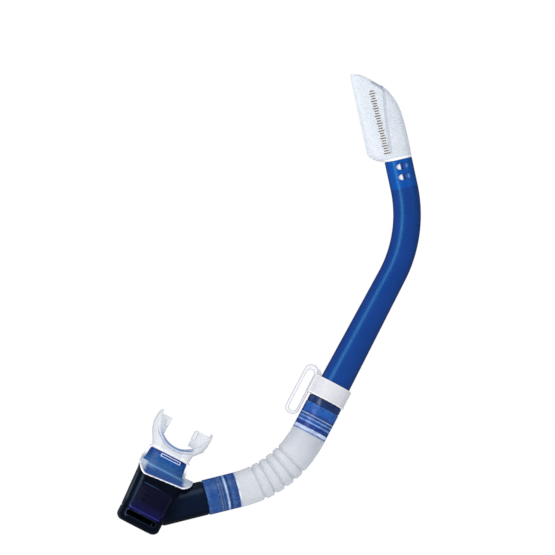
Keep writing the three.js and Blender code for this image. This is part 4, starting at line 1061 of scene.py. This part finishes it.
def hood_body(inset, low):
    steps = 64
    rings = []
    previous = -BEYOND
    for index in range(steps + 1):
        right, z = hood_edge(index / steps)
        pocket = 1 - min(z / HOOD_POCKET, 1)
        left = HOOD_BACK - (HOOD_BACK + BARREL_TOP_HALF[0]) * pocket**HOOD_POCKET_ROUND
        tip = max(0.0, z - (HOOD_HEIGHT - 2.2)) / 2.2
        left = left + inset + 1.2 * tip**2
        right = max(right - inset, left + 0.8)
        share = z / HOOD_HEIGHT
        depth = BARREL_TOP_HALF[1] + (HOOD_TIP_HALF_DEPTH - BARREL_TOP_HALF[1]) * share**1.6
        depth = max(depth - inset, 0.5) * (1 - 0.35 * tip**2)
        slim = 0.45 * min(1, z / 14)
        height = low if index == 0 else min(z, HOOD_HEIGHT - 1.4 * inset)
        if height <= previous + 0.05:
            continue
        previous = height
        unit = oval(1, 1)
        middle, half = (left + right) / 2, (right - left) / 2
        outline = np.column_stack((
            middle + half * unit[:, 0],
            depth * unit[:, 1] * (1 + slim * unit[:, 0]) / (1 + slim * 0.4),
        ))
        rings.append(upright(outline, height))
    return loft(rings)


def hood_shell():
    shell = hood_body(0.0, GAP)
    inner = cut(hood_body(HOOD_WALL, -1.0), block(-BEYOND, BEYOND, -BEYOND, BEYOND, -2.0, HOOD_WALL))
    half_x, half_y = (half - BARREL_WALL for half in BARREL_TOP_HALF)
    hole = stack(((-1.0, oval(half_x, half_y)), (HOOD_POCKET, oval(half_x, half_y))))
    slit = block(*HOOD_SLIT, -HOOD_SLIT_WIDTH / 2, HOOD_SLIT_WIDTH / 2, 62.0, HOOD_HEIGHT + 1)
    return cut(shell, inner, hole, slit)


def hood_pieces():
    for side, name, node, material in (
        (-1, "hood_front_half", "hood_front_shell", HOOD_PRINTED),
        (1, "hood_rear_half", "hood_rear_shell", HOOD_PLAIN),
    ):
        near, far = sorted((side * SEAM, side * BEYOND))
        half = common(hood_shell(), block(-BEYOND, BEYOND, near, far, -BEYOND, 2 * BEYOND))
        settle(half, name, HOOD, material, "upper_tube", node, sharp=50)


def baffle_piece():
    count = 24
    sag = 1.2
    left, right = [], []
    for step in range(count + 1):
        t = step / count
        x = BAFFLE_FOOT[0] + (BAFFLE_HEAD[0] - BAFFLE_FOOT[0]) * t - 2 * sag * t * (1 - t)
        z = BAFFLE_FOOT[1] + (BAFFLE_HEAD[1] - BAFFLE_FOOT[1]) * t
        left.append((x - BAFFLE_THICK / 2, z))
        right.append((x + BAFFLE_THICK / 2, z))
    wall = prism(np.array(right + left[::-1]), -BEYOND, BEYOND)
    common(wall, hood_body(HOOD_WALL + 0.15, 0.0))
    settle(wall, "hood_inner_wall", HOOD, HOOD_WALL_TINT, "upper_tube", "hood_baffle")


# ------------------------------------------------------------------ keeper


def keeper_piece():
    def wall(length, extra):
        half_x, half_y = barrel_half(length)
        return oval(half_x + extra, half_y + extra)

    def ring(z, extra):
        return upright(wall(KEEPER_LOW, extra), z)

    rim = 0.55
    sleeve = loft([
        ring(KEEPER_LOW, GAP), ring(KEEPER_LOW, KEEPER_WALL + rim - 0.4),
        ring(KEEPER_LOW + 0.4, KEEPER_WALL + rim), ring(KEEPER_LOW + 1.5, KEEPER_WALL + rim),
        ring(KEEPER_LOW + 1.9, KEEPER_WALL), ring(KEEPER_HIGH - 1.3, KEEPER_WALL),
        ring(KEEPER_HIGH - 0.3, KEEPER_WALL - 0.5), ring(KEEPER_HIGH, KEEPER_WALL - 1.0),
        upright(wall(KEEPER_HIGH, GAP), KEEPER_HIGH),
    ], closed=True)
    boss_outline = rounded_box(STRAP_SLOT_INNER, -6.0, KEEPER_BOSS_HALF, 2.0)
    boss = stack(((KEEPER_LOW, boss_outline), (KEEPER_HIGH - 0.4, boss_outline)))
    bore = stack(((KEEPER_LOW - 2, wall(KEEPER_LOW, 1.2)), (KEEPER_HIGH + 2, wall(KEEPER_LOW, 1.2))))
    cut(boss, bore)

    outer_x = STRAP_SLOT_INNER - STRAP_SLOT_WIDTH
    high = STRAP_SLOT_LOW + STRAP_SLOT_LENGTH
    inner = stadium(outer_x, STRAP_SLOT_INNER, STRAP_SLOT_LOW, high, side=14)
    outer = stadium(
        outer_x - LOOP_OUTER_LEG, STRAP_SLOT_INNER + LOOP_INNER_LEG,
        STRAP_SLOT_LOW - LOOP_FOOT, high + LOOP_TOP, side=14,
    )
    rings = []
    section = np.linspace(0, 2 * math.pi, 24, endpoint=False)
    for near, far in zip(inner, outer):
        c, s = np.cos(section), np.sin(section)
        u = np.sign(c) * np.abs(c) ** LOOP_ROUND
        v = np.sign(s) * np.abs(s) ** LOOP_ROUND
        middle, reach = (near + far) / 2, (far - near) / 2
        place = (middle[0] + reach[0] * u, v * LOOP_DEPTH / 2, middle[1] + reach[1] * u)
        rings.append(np.column_stack(place))
    loop = loft([ring[::-1] for ring in rings], closed=True)
    web = prism(np.array(LOOP_WEB), -LOOP_DEPTH / 2 + 0.6, LOOP_DEPTH / 2 - 0.6)
    body = join(sleeve, boss, loop, web)
    molded(body, 0.4, 4)
    points = coordinates(body)
    # The rim field marks a painted highlight along the sleeve's top edge and, fainter, its lower rim
    top = np.clip(1 - np.abs(points[:, 2] - KEEPER_HIGH + 0.3) / 0.9, 0, 1)
    foot = np.clip(1 - np.abs(points[:, 2] - KEEPER_LOW - 0.9) / 1.0, 0, 1)
    on_sleeve = points[:, 0] > -19.5
    fields = {"rim": np.maximum(top, foot * 0.7) * on_sleeve}
    settle(body, "strap_keeper", BARREL, KEEPER_WHITE, "keeper",
           "keeper_clip", sharp=180, fields=fields)


# ------------------------------------------------------------------ couplers and seals


def coupler(with_collar):
    step = BARREL_FOOT - SPIGOT_LENGTH + SNAP_FROM_END + SNAP_HEIGHT + 2 * GAP
    recess = SNAP_RADIUS + GAP
    profile = [(recess, 0.0), (COUPLER_RADIUS - 0.7, 0.0), (COUPLER_RADIUS, 1.2)]
    for rib in range(COUPLER_RIBS):
        z = COUPLER_RIB_START + rib * COUPLER_RIB_PITCH
        profile += [(COUPLER_RADIUS, z - 0.7), (COUPLER_RADIUS + COUPLER_RIB, z - 0.25)]
        profile += [(COUPLER_RADIUS + COUPLER_RIB, z + 0.25), (COUPLER_RADIUS, z + 0.7)]
    if with_collar:
        shelf, lip_top = COUPLER_LENGTH - COLLAR_HEIGHT, COUPLER_LENGTH + COLLAR_LIP
        profile += [(COUPLER_RADIUS, shelf), (COLLAR_RADIUS, shelf), (COLLAR_RADIUS, lip_top)]
        profile += [(BARREL_FOOT_HALF[0] + GAP, lip_top), (BARREL_FOOT_HALF[0] + GAP, COUPLER_LENGTH)]
    else:
        profile += [(COUPLER_RADIUS, COUPLER_LENGTH)]
    profile += [(SOCKET_BORE, COUPLER_LENGTH), (SOCKET_BORE, step), (recess, step)]
    return turned(profile, 0.22)


def coupler_pieces():
    upper = coupler(True)
    settle(upper, "upper_swivel_coupler", BARREL, coupler_blue("upper_blue", COUPLER_LENGTH, UPPER_STOPS),
           "hose_top", "upper_coupler", sharp=50)
    flipped = Local(ARM.origin + ARM.z * (COUPLER_LENGTH + GAP), -ARM.z)
    lower = coupler(False)
    settle(lower, "lower_swivel_coupler", flipped, coupler_blue("lower_blue", COUPLER_LENGTH, LOWER_STOPS),
           "hose_foot", "lower_coupler", sharp=50)


def oring(middle):
    inner = SPIGOT_RADIUS - ORING_THICK + GAP
    radius = (SOCKET_BORE - GAP / 2 - inner) / 2
    section = [
        (inner + radius + radius * math.cos(a), middle + radius * math.sin(a))
        for a in np.linspace(0, 2 * math.pi, 16, endpoint=False)
    ]
    return turned(section)


def snap_ring(low):
    inner = SNAP_RADIUS - SNAP_DEPTH
    high = low + SNAP_HEIGHT
    ring = turned([(inner, low), (SNAP_RADIUS, low), (SNAP_RADIUS, high), (inner, high)], 0.2)
    return cut(ring, block(0.0, BEYOND, -SNAP_SLIT / 2, SNAP_SLIT / 2, low - 1, high + 1))


def seal_pieces():
    end = BARREL_FOOT - SPIGOT_LENGTH
    settle(oring(end + ORING_FROM_END), "upper_seal_ring", BARREL, SEAL_BLACK,
           "upper_tube", "upper_oring")
    settle(snap_ring(end + SNAP_FROM_END), "upper_retaining_ring", BARREL, ACETAL_WHITE,
           "upper_tube", "upper_snap_ring")
    settle(oring(SPIGOT_LENGTH - ORING_FROM_END), "lower_seal_ring", ARM, SEAL_BLACK,
           "chamber", "lower_oring")
    settle(snap_ring(SPIGOT_LENGTH - SNAP_FROM_END - SNAP_HEIGHT), "lower_retaining_ring", ARM,
           ACETAL_WHITE, "chamber", "lower_snap_ring")


# ------------------------------------------------------------------ hose


def hose_piece():
    straight, upper_end = HOSE_LOWER_END, HOSE_UPPER_END
    path = bent_path(straight, HOSE_RADIUS, HOSE_TURN)
    total = upper_end + COUPLER_LENGTH - COLLAR_HEIGHT - GAP
    first = straight + BELLOWS_START
    last = first + BELLOWS_CRESTS * BELLOWS_PITCH

    def outside(s):
        nearest = first + round(np.clip((s - first) / BELLOWS_PITCH, 0, BELLOWS_CRESTS)) * BELLOWS_PITCH
        crest = BELLOWS_CREST if first < s < last else CUFF_RADIUS + 0.35 * math.exp(-abs(s - nearest) / 9)
        away = min(1.0, abs(s - nearest) / BELLOWS_GROOVE)
        return crest - (crest - BELLOWS_ROOT) * (1 - away**2) ** 1.3

    def ring(s, radius):
        return placed(oval(radius, radius), path(s))

    lip = 0.5
    outer_lengths = [lip, 3.0, 8.0, 16.0, 24.0]
    outer_lengths += [straight - 0.5, straight + 0.5] + list(np.linspace(straight + 1.0, first - 4, 8))
    outer_lengths += list(np.arange(first - 3.6, last + 3.6, 0.4))
    outer_lengths += list(np.linspace(last + 4, upper_end - 1.0, 14)) + [upper_end - 0.5, upper_end + 0.5]
    outer_lengths += [upper_end + 8, upper_end + 16, upper_end + 22, total - lip]
    rings = [ring(0.0, CUFF_RADIUS - lip)]
    rings += [ring(s, outside(s)) for s in outer_lengths]
    rings.append(ring(total, CUFF_RADIUS - lip))
    inner_from, inner_to = straight + 1.5, upper_end - 1.5
    inner = [(total, CUFF_BORE + 0.3), (total - 0.3, CUFF_BORE)]
    inner += [(s, CUFF_BORE) for s in (upper_end + 14, inner_to)]
    inner += [(s, outside(s) - BELLOWS_WALL) for s in np.arange(inner_to - 2, inner_from + 2, -0.8)]
    inner += [(s, CUFF_BORE) for s in (inner_from, 16.0, 0.3)]
    inner.append((0.0, CUFF_BORE + 0.3))
    rings += [ring(s, radius) for s, radius in inner]
    hose = loft(rings, closed=True)
    lengths = np.repeat([0.0] + outer_lengths + [total] + [s for s, _ in inner], FACETS)
    frost = np.clip(lengths - straight + 0.5, 0, 1) * np.clip(upper_end + 0.5 - lengths, 0, 1)
    base = Local(ARM.origin + ARM.z * 2 * GAP, ARM.z)
    settle(hose, "corrugated_hose", base, HOSE_SILICONE, None, "flex_hose",
           sharp=70, fields={"frost": frost, "along": lengths})
    for s in (upper_end, straight):
        x, z, _ = path(s)
        base.out((x, 0.0, z))
    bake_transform(hose)


# ------------------------------------------------------------------ chamber


def chamber_ring(half, pull, inset):
    reach = half - pull - inset
    depth = CHAMBER_HALF_DEPTH - pull - inset
    return rounded_box(CHAMBER_MIDDLE - reach, CHAMBER_MIDDLE + reach, depth, CHAMBER_CORNER - inset)


def chamber_outline(z, inset):
    share = min(1.0, max(0.0, z / ROOF_RIDGE))
    return chamber_ring(CHAMBER_HALF + (CHAMBER_TOP_HALF - CHAMBER_HALF) * share, 0.0, inset)


def under_roof(lower, count=144):
    """Everything below the vault, lowered by an amount."""
    radius = ROOF_RADIUS - lower
    angle = np.linspace(0, math.pi, count // 2 + 1)
    section = [(radius * math.cos(a), radius * math.sin(a)) for a in angle]
    section += [(-radius, lower - 2 * BEYOND), (radius, lower - 2 * BEYOND)]
    points = np.array(section)
    reach = BEYOND + lower
    ends = [np.column_stack((np.full(len(points), x), points)) for x in (-reach, reach)]
    return shift(loft(ends), 0.0, ROOF_RIDGE - ROOF_RADIUS, -math.radians(ROOF_SLOPE))


def chamber_body(inset, low):
    high = ROOF_RIDGE + 8
    walls = stack(((low, chamber_outline(0, inset)), (high, chamber_outline(high, inset))))
    return common(walls, under_roof(inset))


def arm_rod(radius, start, end):
    return shift(rod(radius, start, end), 0.0, ARM_RISE, ARM_TILT)


def neck_oval(half, grow):
    return oval(half[0] + grow, half[1] + grow, NECK_MIDDLE)


def panel_outline(grow):
    half_x, half_z = PANEL_LENGTH / 2 + grow, PANEL_HEIGHT / 2 + grow
    outline = rounded_box(-half_x, half_x, half_z, PANEL_CORNER + grow)
    return outline + (PANEL_SHIFT, PANEL_MIDDLE)


def housing_piece():
    body = chamber_body(0.0, SEAM)
    above = block(-BEYOND, 2 * BEYOND, -BEYOND, BEYOND, SEAM, 2 * BEYOND)
    join(body, common(arm_rod(ARM_RADIUS, 4.0, ARM_LENGTH), above))
    molded(body, 0.6, 16)
    floor = block(-BEYOND, 2 * BEYOND, -BEYOND, BEYOND, -BEYOND, SEAM)
    root = [(SPIGOT_RADIUS, 1.5), (SPIGOT_BORE, 1.5), (SPIGOT_BORE, -SPIGOT_LENGTH)]
    spigot = turned(spigot_profile(0.0) + root)
    points = coordinates(spigot)
    points[:, 1:] *= -1
    write_coordinates(spigot, points)
    shift(spigot, 0.0, ARM_LENGTH)
    shift(spigot, 0.0, ARM_RISE, ARM_TILT)
    socket = neck_stack((PLUG_LOW, PLUG_HALF, GAP), (ROOF_RIDGE + 10, PLUG_HALF, GAP))
    recess = prism(panel_outline(GAP), -BEYOND, -CHAMBER_HALF_DEPTH + PANEL_THICK - PANEL_PROUD)
    cut(body, floor, chamber_body(CHAMBER_WALL, -1.0), arm_rod(ARM_BORE, 8.0, ARM_LENGTH - 4.0))
    cut(body, arm_rod(SPIGOT_BORE, ARM_LENGTH - 6.0, ARM_LENGTH + 2.0))
    join(body, spigot)
    cut(body, socket, recess)
    settle(body, "chamber_shell", CHAMBER, CHAMBER_DARK, "chamber",
           "chamber_housing", sharp=45)


def panel_piece():
    front = -CHAMBER_HALF_DEPTH - PANEL_PROUD
    panel = prism(panel_outline(0.0), front, front + PANEL_THICK - GAP)
    frame_line = prism(panel_outline(-1.0), -BEYOND, front + 0.45)
    cut(panel, cut(frame_line, prism(panel_outline(-2.2), -BEYOND, 0.0)))
    half_x, half_z = PANEL_BAR_HALF
    for row in PANEL_BARS:
        middle = PANEL_MIDDLE + row
        bar = stadium(PANEL_SHIFT - half_x, PANEL_SHIFT + half_x, middle - half_z, middle + half_z)
        join(panel, prism(bar, front - 0.3, front + 0.2))
    beveled(panel, 0.15, 40)
    settle(panel, "grip_panel", CHAMBER, PANEL_NAVY, "chamber", "front_panel")


def cover_piece():
    def outline(z, inset):
        rise = min(1.0, max(0.0, (z + COVER_HEIGHT) / COVER_ROUND))
        pull = COVER_ROUND * (1 - math.sqrt(1 - (1 - rise) ** 2))
        return chamber_ring(CHAMBER_HALF, pull, inset)

    shares = [(1 - math.cos(a)) for a in np.linspace(0, math.pi / 2, 14)]
    heights = [-COVER_HEIGHT + share * COVER_ROUND for share in shares]
    outer = stack([(z, outline(z, 0.0)) for z in heights] + [(-SEAM, outline(0.0, 0.0))])
    inside = [(z + COVER_WALL, outline(z, COVER_WALL)) for z in heights]
    inner = stack(inside + [(1.0, outline(0.0, COVER_WALL))])
    low = -OUTLET_BELOW - OUTLET_HEIGHT / 2
    slot = stadium(-OUTLET_LENGTH / 2, OUTLET_LENGTH / 2, low, low + OUTLET_HEIGHT)
    cut(outer, inner, prism(slot, -BEYOND, 0.0))
    beveled(outer, 0.35, 50)
    settle(outer, "purge_lid", CHAMBER, COVER_DARK, "chamber", "purge_cover", sharp=45)


def diaphragm_piece():
    top = SEAT_LOW - GAP
    bulb = SEAT_HIGH + VALVE_LIFT + GAP
    low = top - DIAPHRAGM_THICK
    profile = [
        (0.6, low - 0.6), (3.0, low - 0.6), (5.0, low), (DIAPHRAGM_RADIUS - 0.3, top - 0.5),
        (DIAPHRAGM_RADIUS, top - 0.25), (DIAPHRAGM_RADIUS - 0.2, top), (STEM_RADIUS, top),
        (STEM_RADIUS, bulb), (STEM_BULB, bulb + 0.4), (STEM_RADIUS, bulb + 2.4), (0.3, bulb + 3.0),
    ]
    piece = loft([upright(oval(r, r), z) for r, z in profile])
    settle(piece, "purge_flap", CHAMBER, FLAP_SILICONE, "purge_valve",
           "purge_diaphragm")


# ------------------------------------------------------------------ mouthpiece


def neck_stack(*layers):
    """A solid through ovals about the neck: each layer is a height, half sizes and a growth."""
    return stack([(z, neck_oval(half, grow)) for z, half, grow in layers])


def adapter_piece():
    ease = 0.8
    outer = neck_stack(
        (PLUG_LOW, PLUG_HALF, 0), (NECK_LOW, PLUG_HALF, 0), (NECK_LOW + 0.1, NECK_FOOT_HALF, 0),
        (NECK_LOW + 3, NECK_FOOT_HALF, -ease), (NECK_HIGH - 1.5, NECK_TOP_HALF, 0),
        (NECK_HIGH, NECK_TOP_HALF, -ease),
    )
    inner = neck_stack((PLUG_LOW - 1, PLUG_HALF, -NECK_WALL), (NECK_HIGH + 1, NECK_TOP_HALF, -NECK_WALL))
    low, high = SEAL_HEIGHT - SEAL_THICK - GAP, SEAL_HEIGHT + SEAL_THICK + GAP
    groove = cut(
        neck_stack((low, PLUG_HALF, 5), (high, PLUG_HALF, 5)),
        neck_stack((low - 1, PLUG_HALF, -SEAL_THICK), (high + 1, PLUG_HALF, -SEAL_THICK)),
    )
    cut(outer, inner, groove)
    middle_x, middle_z, half_x, half_z = WINDOW
    window = rounded_box(middle_x - half_x, middle_x + half_x, half_z, 0.5)
    window[:, 1] += middle_z
    cut(outer, prism(window, -BEYOND, -NECK_TOP_HALF[1] + 0.5))
    settle(outer, "mouthpiece_neck", CHAMBER, NECK_BLUE, "chamber",
           "mouthpiece_adapter")


def shield():
    rings = []
    for z, left, right, half_depth in SHIELD_LAYERS:
        rings.append((z, rounded_box(left, right, half_depth, half_depth - 2, 10)))
    body = stack(rings)
    rx, rz = SHIELD_CENTRE
    radius = SHIELD_RADIUS
    angle = np.linspace(0, 2 * math.pi, 96, endpoint=False)
    mouth = np.column_stack((rx + radius * np.cos(angle), rz + radius * np.sin(angle)))
    cut(body, prism(mouth, -BEYOND, BEYOND))
    return cut(body, block(rx - radius, rx + radius, -BEYOND, BEYOND, rz, rz + BEYOND))


def tab(outer_x, inner_x):
    half = TAB_THICK / 2
    x0, x1 = sorted((outer_x, inner_x))
    body = block(x0, x1, -half, half, TAB_LOW, TAB_TOP)
    lug_x = inner_x + math.copysign(TAB_LUG_WIDTH, outer_x - inner_x)
    x0, x1 = sorted((lug_x, inner_x))
    return join(body, block(x0, x1, -TAB_LUG / 2, TAB_LUG / 2, TAB_TOP - TAB_LUG_HEIGHT, TAB_TOP - 0.5))


def roof_height(x, y):
    """The roof's height in the chamber's frame."""
    slope = math.radians(ROOF_SLOPE)
    vault = np.sqrt(np.maximum(ROOF_RADIUS**2 - y**2, 0))
    return ROOF_RIDGE - ROOF_RADIUS + x * math.tan(slope) + vault / math.cos(slope)


def skirt_rim():
    """Points along the skirt's lower edge, on the roof."""
    left, right = SKIRT_REACH - SKIRT_HALF, SKIRT_REACH + SKIRT_HALF
    outline = rounded_box(left, right, CHAMBER_HALF_DEPTH, CHAMBER_CORNER, 12)
    dense = []
    for index, point in enumerate(outline):
        after = outline[(index + 1) % len(outline)]
        count = max(1, int(np.linalg.norm(after - point) / 1.5))
        dense += [point + (after - point) * step / count for step in range(count)]
    dense = np.array(dense)
    return np.column_stack((dense, roof_height(dense[:, 0], dense[:, 1]) + 1.1))


def mouthpiece_piece():
    boot = neck_stack(
        (NECK_LOW - 14, NECK_FOOT_HALF, BOOT_WALL), (NECK_LOW + 4, NECK_FOOT_HALF, BOOT_WALL),
        (NECK_HIGH + 1, NECK_TOP_HALF, BOOT_WALL), (SHIELD_LAYERS[0][0] + 1, LIP_BORE_HALF, 4),
    )
    left, right = SKIRT_REACH - SKIRT_HALF, SKIRT_REACH + SKIRT_HALF
    rim_outline = rounded_box(left, right, CHAMBER_HALF_DEPTH, CHAMBER_CORNER, FACETS // 4 - 1)
    form = stack((
        (ROOF_RIDGE - ROOF_RADIUS, rim_outline), (ROOF_RIDGE + 4.5, rim_outline),
        (ROOF_RIDGE + 5.5, neck_oval(NECK_FOOT_HALF, BOOT_WALL + 1)),
        (NECK_LOW + 6, neck_oval(NECK_FOOT_HALF, BOOT_WALL)),
    ))
    skirt = common(cut(under_roof(-SKIRT_WALL), under_roof(-GAP)), form)
    body = join(boot, skirt, shield(), tab(*TAB_LEFT), tab(*TAB_RIGHT))
    hollow = neck_stack(
        (NECK_LOW - 20, NECK_FOOT_HALF, GAP), (NECK_LOW + 3, NECK_FOOT_HALF, GAP),
        (NECK_HIGH, NECK_TOP_HALF, GAP), (NECK_HIGH + GAP, NECK_TOP_HALF, GAP),
    )
    bore = neck_stack((NECK_HIGH - 1, LIP_BORE_HALF, 0), (SHIELD_CENTRE[1], LIP_BORE_HALF, 0))
    cut(body, hollow, bore, under_roof(-GAP), arm_rod(ARM_RADIUS + GAP, 0.0, ARM_LENGTH))
    molded(body, 0.45, 10)
    points = coordinates(body)
    line = skirt_rim()
    near = np.full(len(points), 9.0)
    for start in range(0, len(line), 16):
        part = line[start:start + 16]
        near = np.minimum(near, np.linalg.norm(points[:, None, :] - part[None, :, :], axis=2).min(axis=1))
    rim = np.clip(1.7 - near, 0, 1) * np.clip((CHAMBER_HALF_DEPTH * 3 - near) / 10, 0, 1)
    hem = np.clip((near - 1.4) / 0.6, 0, 1) * np.clip(3.4 - near, 0, 1) * (points[:, 2] < NECK_LOW)
    settle(body, "bite_mouthpiece", CHAMBER, MOUTH_SILICONE, "chamber",
           "mouthpiece", sharp=180, fields={"hem": hem, "rim": rim})


# ------------------------------------------------------------------ build

barrel_piece()
sleeve_piece()
hood_pieces()
baffle_piece()
keeper_piece()
coupler_pieces()
seal_pieces()
hose_piece()
housing_piece()
panel_piece()
cover_piece()
diaphragm_piece()
adapter_piece()
mouthpiece_piece()


def paint(node, material):
    mesh = frame["nodes"][node].data
    mesh.materials.clear()
    mesh.materials.append(material)


paint("valve_seat", SEAT_DARK)
paint("adapter_seal", SEAL_BLACK)

# ------------------------------------------------------------------ stage, light and camera

VIEW_AZIMUTH = math.radians(-6.5)
VIEW_ELEVATION = math.radians(1)
VIEW_ROLL = math.radians(0.27)
VIEW_WIDTH = 0.5106
CLIP_RANGE = (0.1, 60.0)
AIM_RIGHT = 0.0069
AIM_UP = 0.02465
LENS = 700.0
SENSOR = 36.0
FLOOR_BELOW = 0.14
FLOOR_RADIUS = 1.0

low, high = (np.array(corner) for corner in CAD_BOX)
right = np.array((math.cos(VIEW_AZIMUTH), math.sin(VIEW_AZIMUTH), 0.0))
back = np.array((
    math.sin(VIEW_AZIMUTH) * math.cos(VIEW_ELEVATION),
    -math.cos(VIEW_AZIMUTH) * math.cos(VIEW_ELEVATION),
    math.sin(VIEW_ELEVATION),
))
up = np.cross(back, right)
middle = (low + high) / 2
aim = middle + right * AIM_RIGHT + up * AIM_UP
camera_data = bpy.data.cameras.new("camera")
camera_data.lens = LENS
camera_data.sensor_width = SENSOR
camera_data.clip_start, camera_data.clip_end = CLIP_RANGE
camera = bpy.data.objects.new("camera", camera_data)
bpy.context.scene.collection.objects.link(camera)
bpy.context.scene.camera = camera


def look(obj, position, target):
    obj.location = Vector(position)
    direction = Vector(target) - Vector(position)
    obj.rotation_mode = "QUATERNION"
    obj.rotation_quaternion = direction.to_track_quat("-Z", "Y")


look(camera, aim + back * (VIEW_WIDTH * LENS / SENSOR), aim)
camera.rotation_quaternion @= Quaternion((0.0, 0.0, 1.0), VIEW_ROLL)


def area_light(name, azimuth, elevation, distance, width, height, power):
    """A soft panel of light: angles in degrees round the object, metres and watts."""
    data = bpy.data.lights.new(name, "AREA")
    data.shape = "RECTANGLE"
    data.size = width
    data.size_y = height
    data.energy = power
    light = bpy.data.objects.new(name, data)
    bpy.context.scene.collection.objects.link(light)
    a, e = math.radians(azimuth), math.radians(elevation)
    towards = np.array((math.sin(a) * math.cos(e), -math.cos(a) * math.cos(e), math.sin(e)))
    look(light, middle + distance * towards, middle)
    light.visible_camera = False


area_light("strip_light", -39, 4, 1.6, 0.55, 1.6, 13.0)
area_light("key_light", -33, 55, 1.8, 1.4, 1.0, 8.0)
area_light("fill_light", 47, 25, 1.9, 1.2, 1.2, 3.0)


def studio_world():
    """Soft pale light all round, dim in reflections and white behind the object."""
    world = bpy.data.worlds.new("studio")
    bpy.context.scene.world = world
    world.use_nodes = True
    tree = world.node_tree
    tree.nodes.clear()
    paths = tree.nodes.new("ShaderNodeLightPath")
    color = None
    for ray, seen, otherwise in (
        ("Is Glossy Ray", (0.09, 0.1, 0.12, 1.0), (0.6, 0.61, 0.63, 1.0)),
        ("Is Camera Ray", (1.0, 1.0, 1.0, 1.0), None),
    ):
        mix = tree.nodes.new("ShaderNodeMix")
        mix.data_type = "RGBA"
        mix.inputs[7].default_value = seen
        tree.links.new(paths.outputs[ray], mix.inputs["Factor"])
        if otherwise:
            mix.inputs[6].default_value = otherwise
        else:
            tree.links.new(color, mix.inputs[6])
        color = mix.outputs[2]
    background = tree.nodes.new("ShaderNodeBackground")
    tree.links.new(color, background.inputs["Color"])
    out = tree.nodes.new("ShaderNodeOutputWorld")
    tree.links.new(background.outputs[0], out.inputs["Surface"])


studio_world()

floor_mesh = bpy.data.meshes.new("floor")
edit = bmesh.new()
bmesh.ops.create_circle(edit, cap_ends=True, segments=96, radius=FLOOR_RADIUS)
edit.to_mesh(floor_mesh)
edit.free()
floor = bpy.data.objects.new("floor", floor_mesh)
bpy.context.scene.collection.objects.link(floor)
floor.location = (*middle[:2], low[2] - FLOOR_BELOW)
floor_mesh.materials.append(floor_pale())
floor.visible_glossy = False

bpy.context.scene.view_settings.view_transform = "Standard"
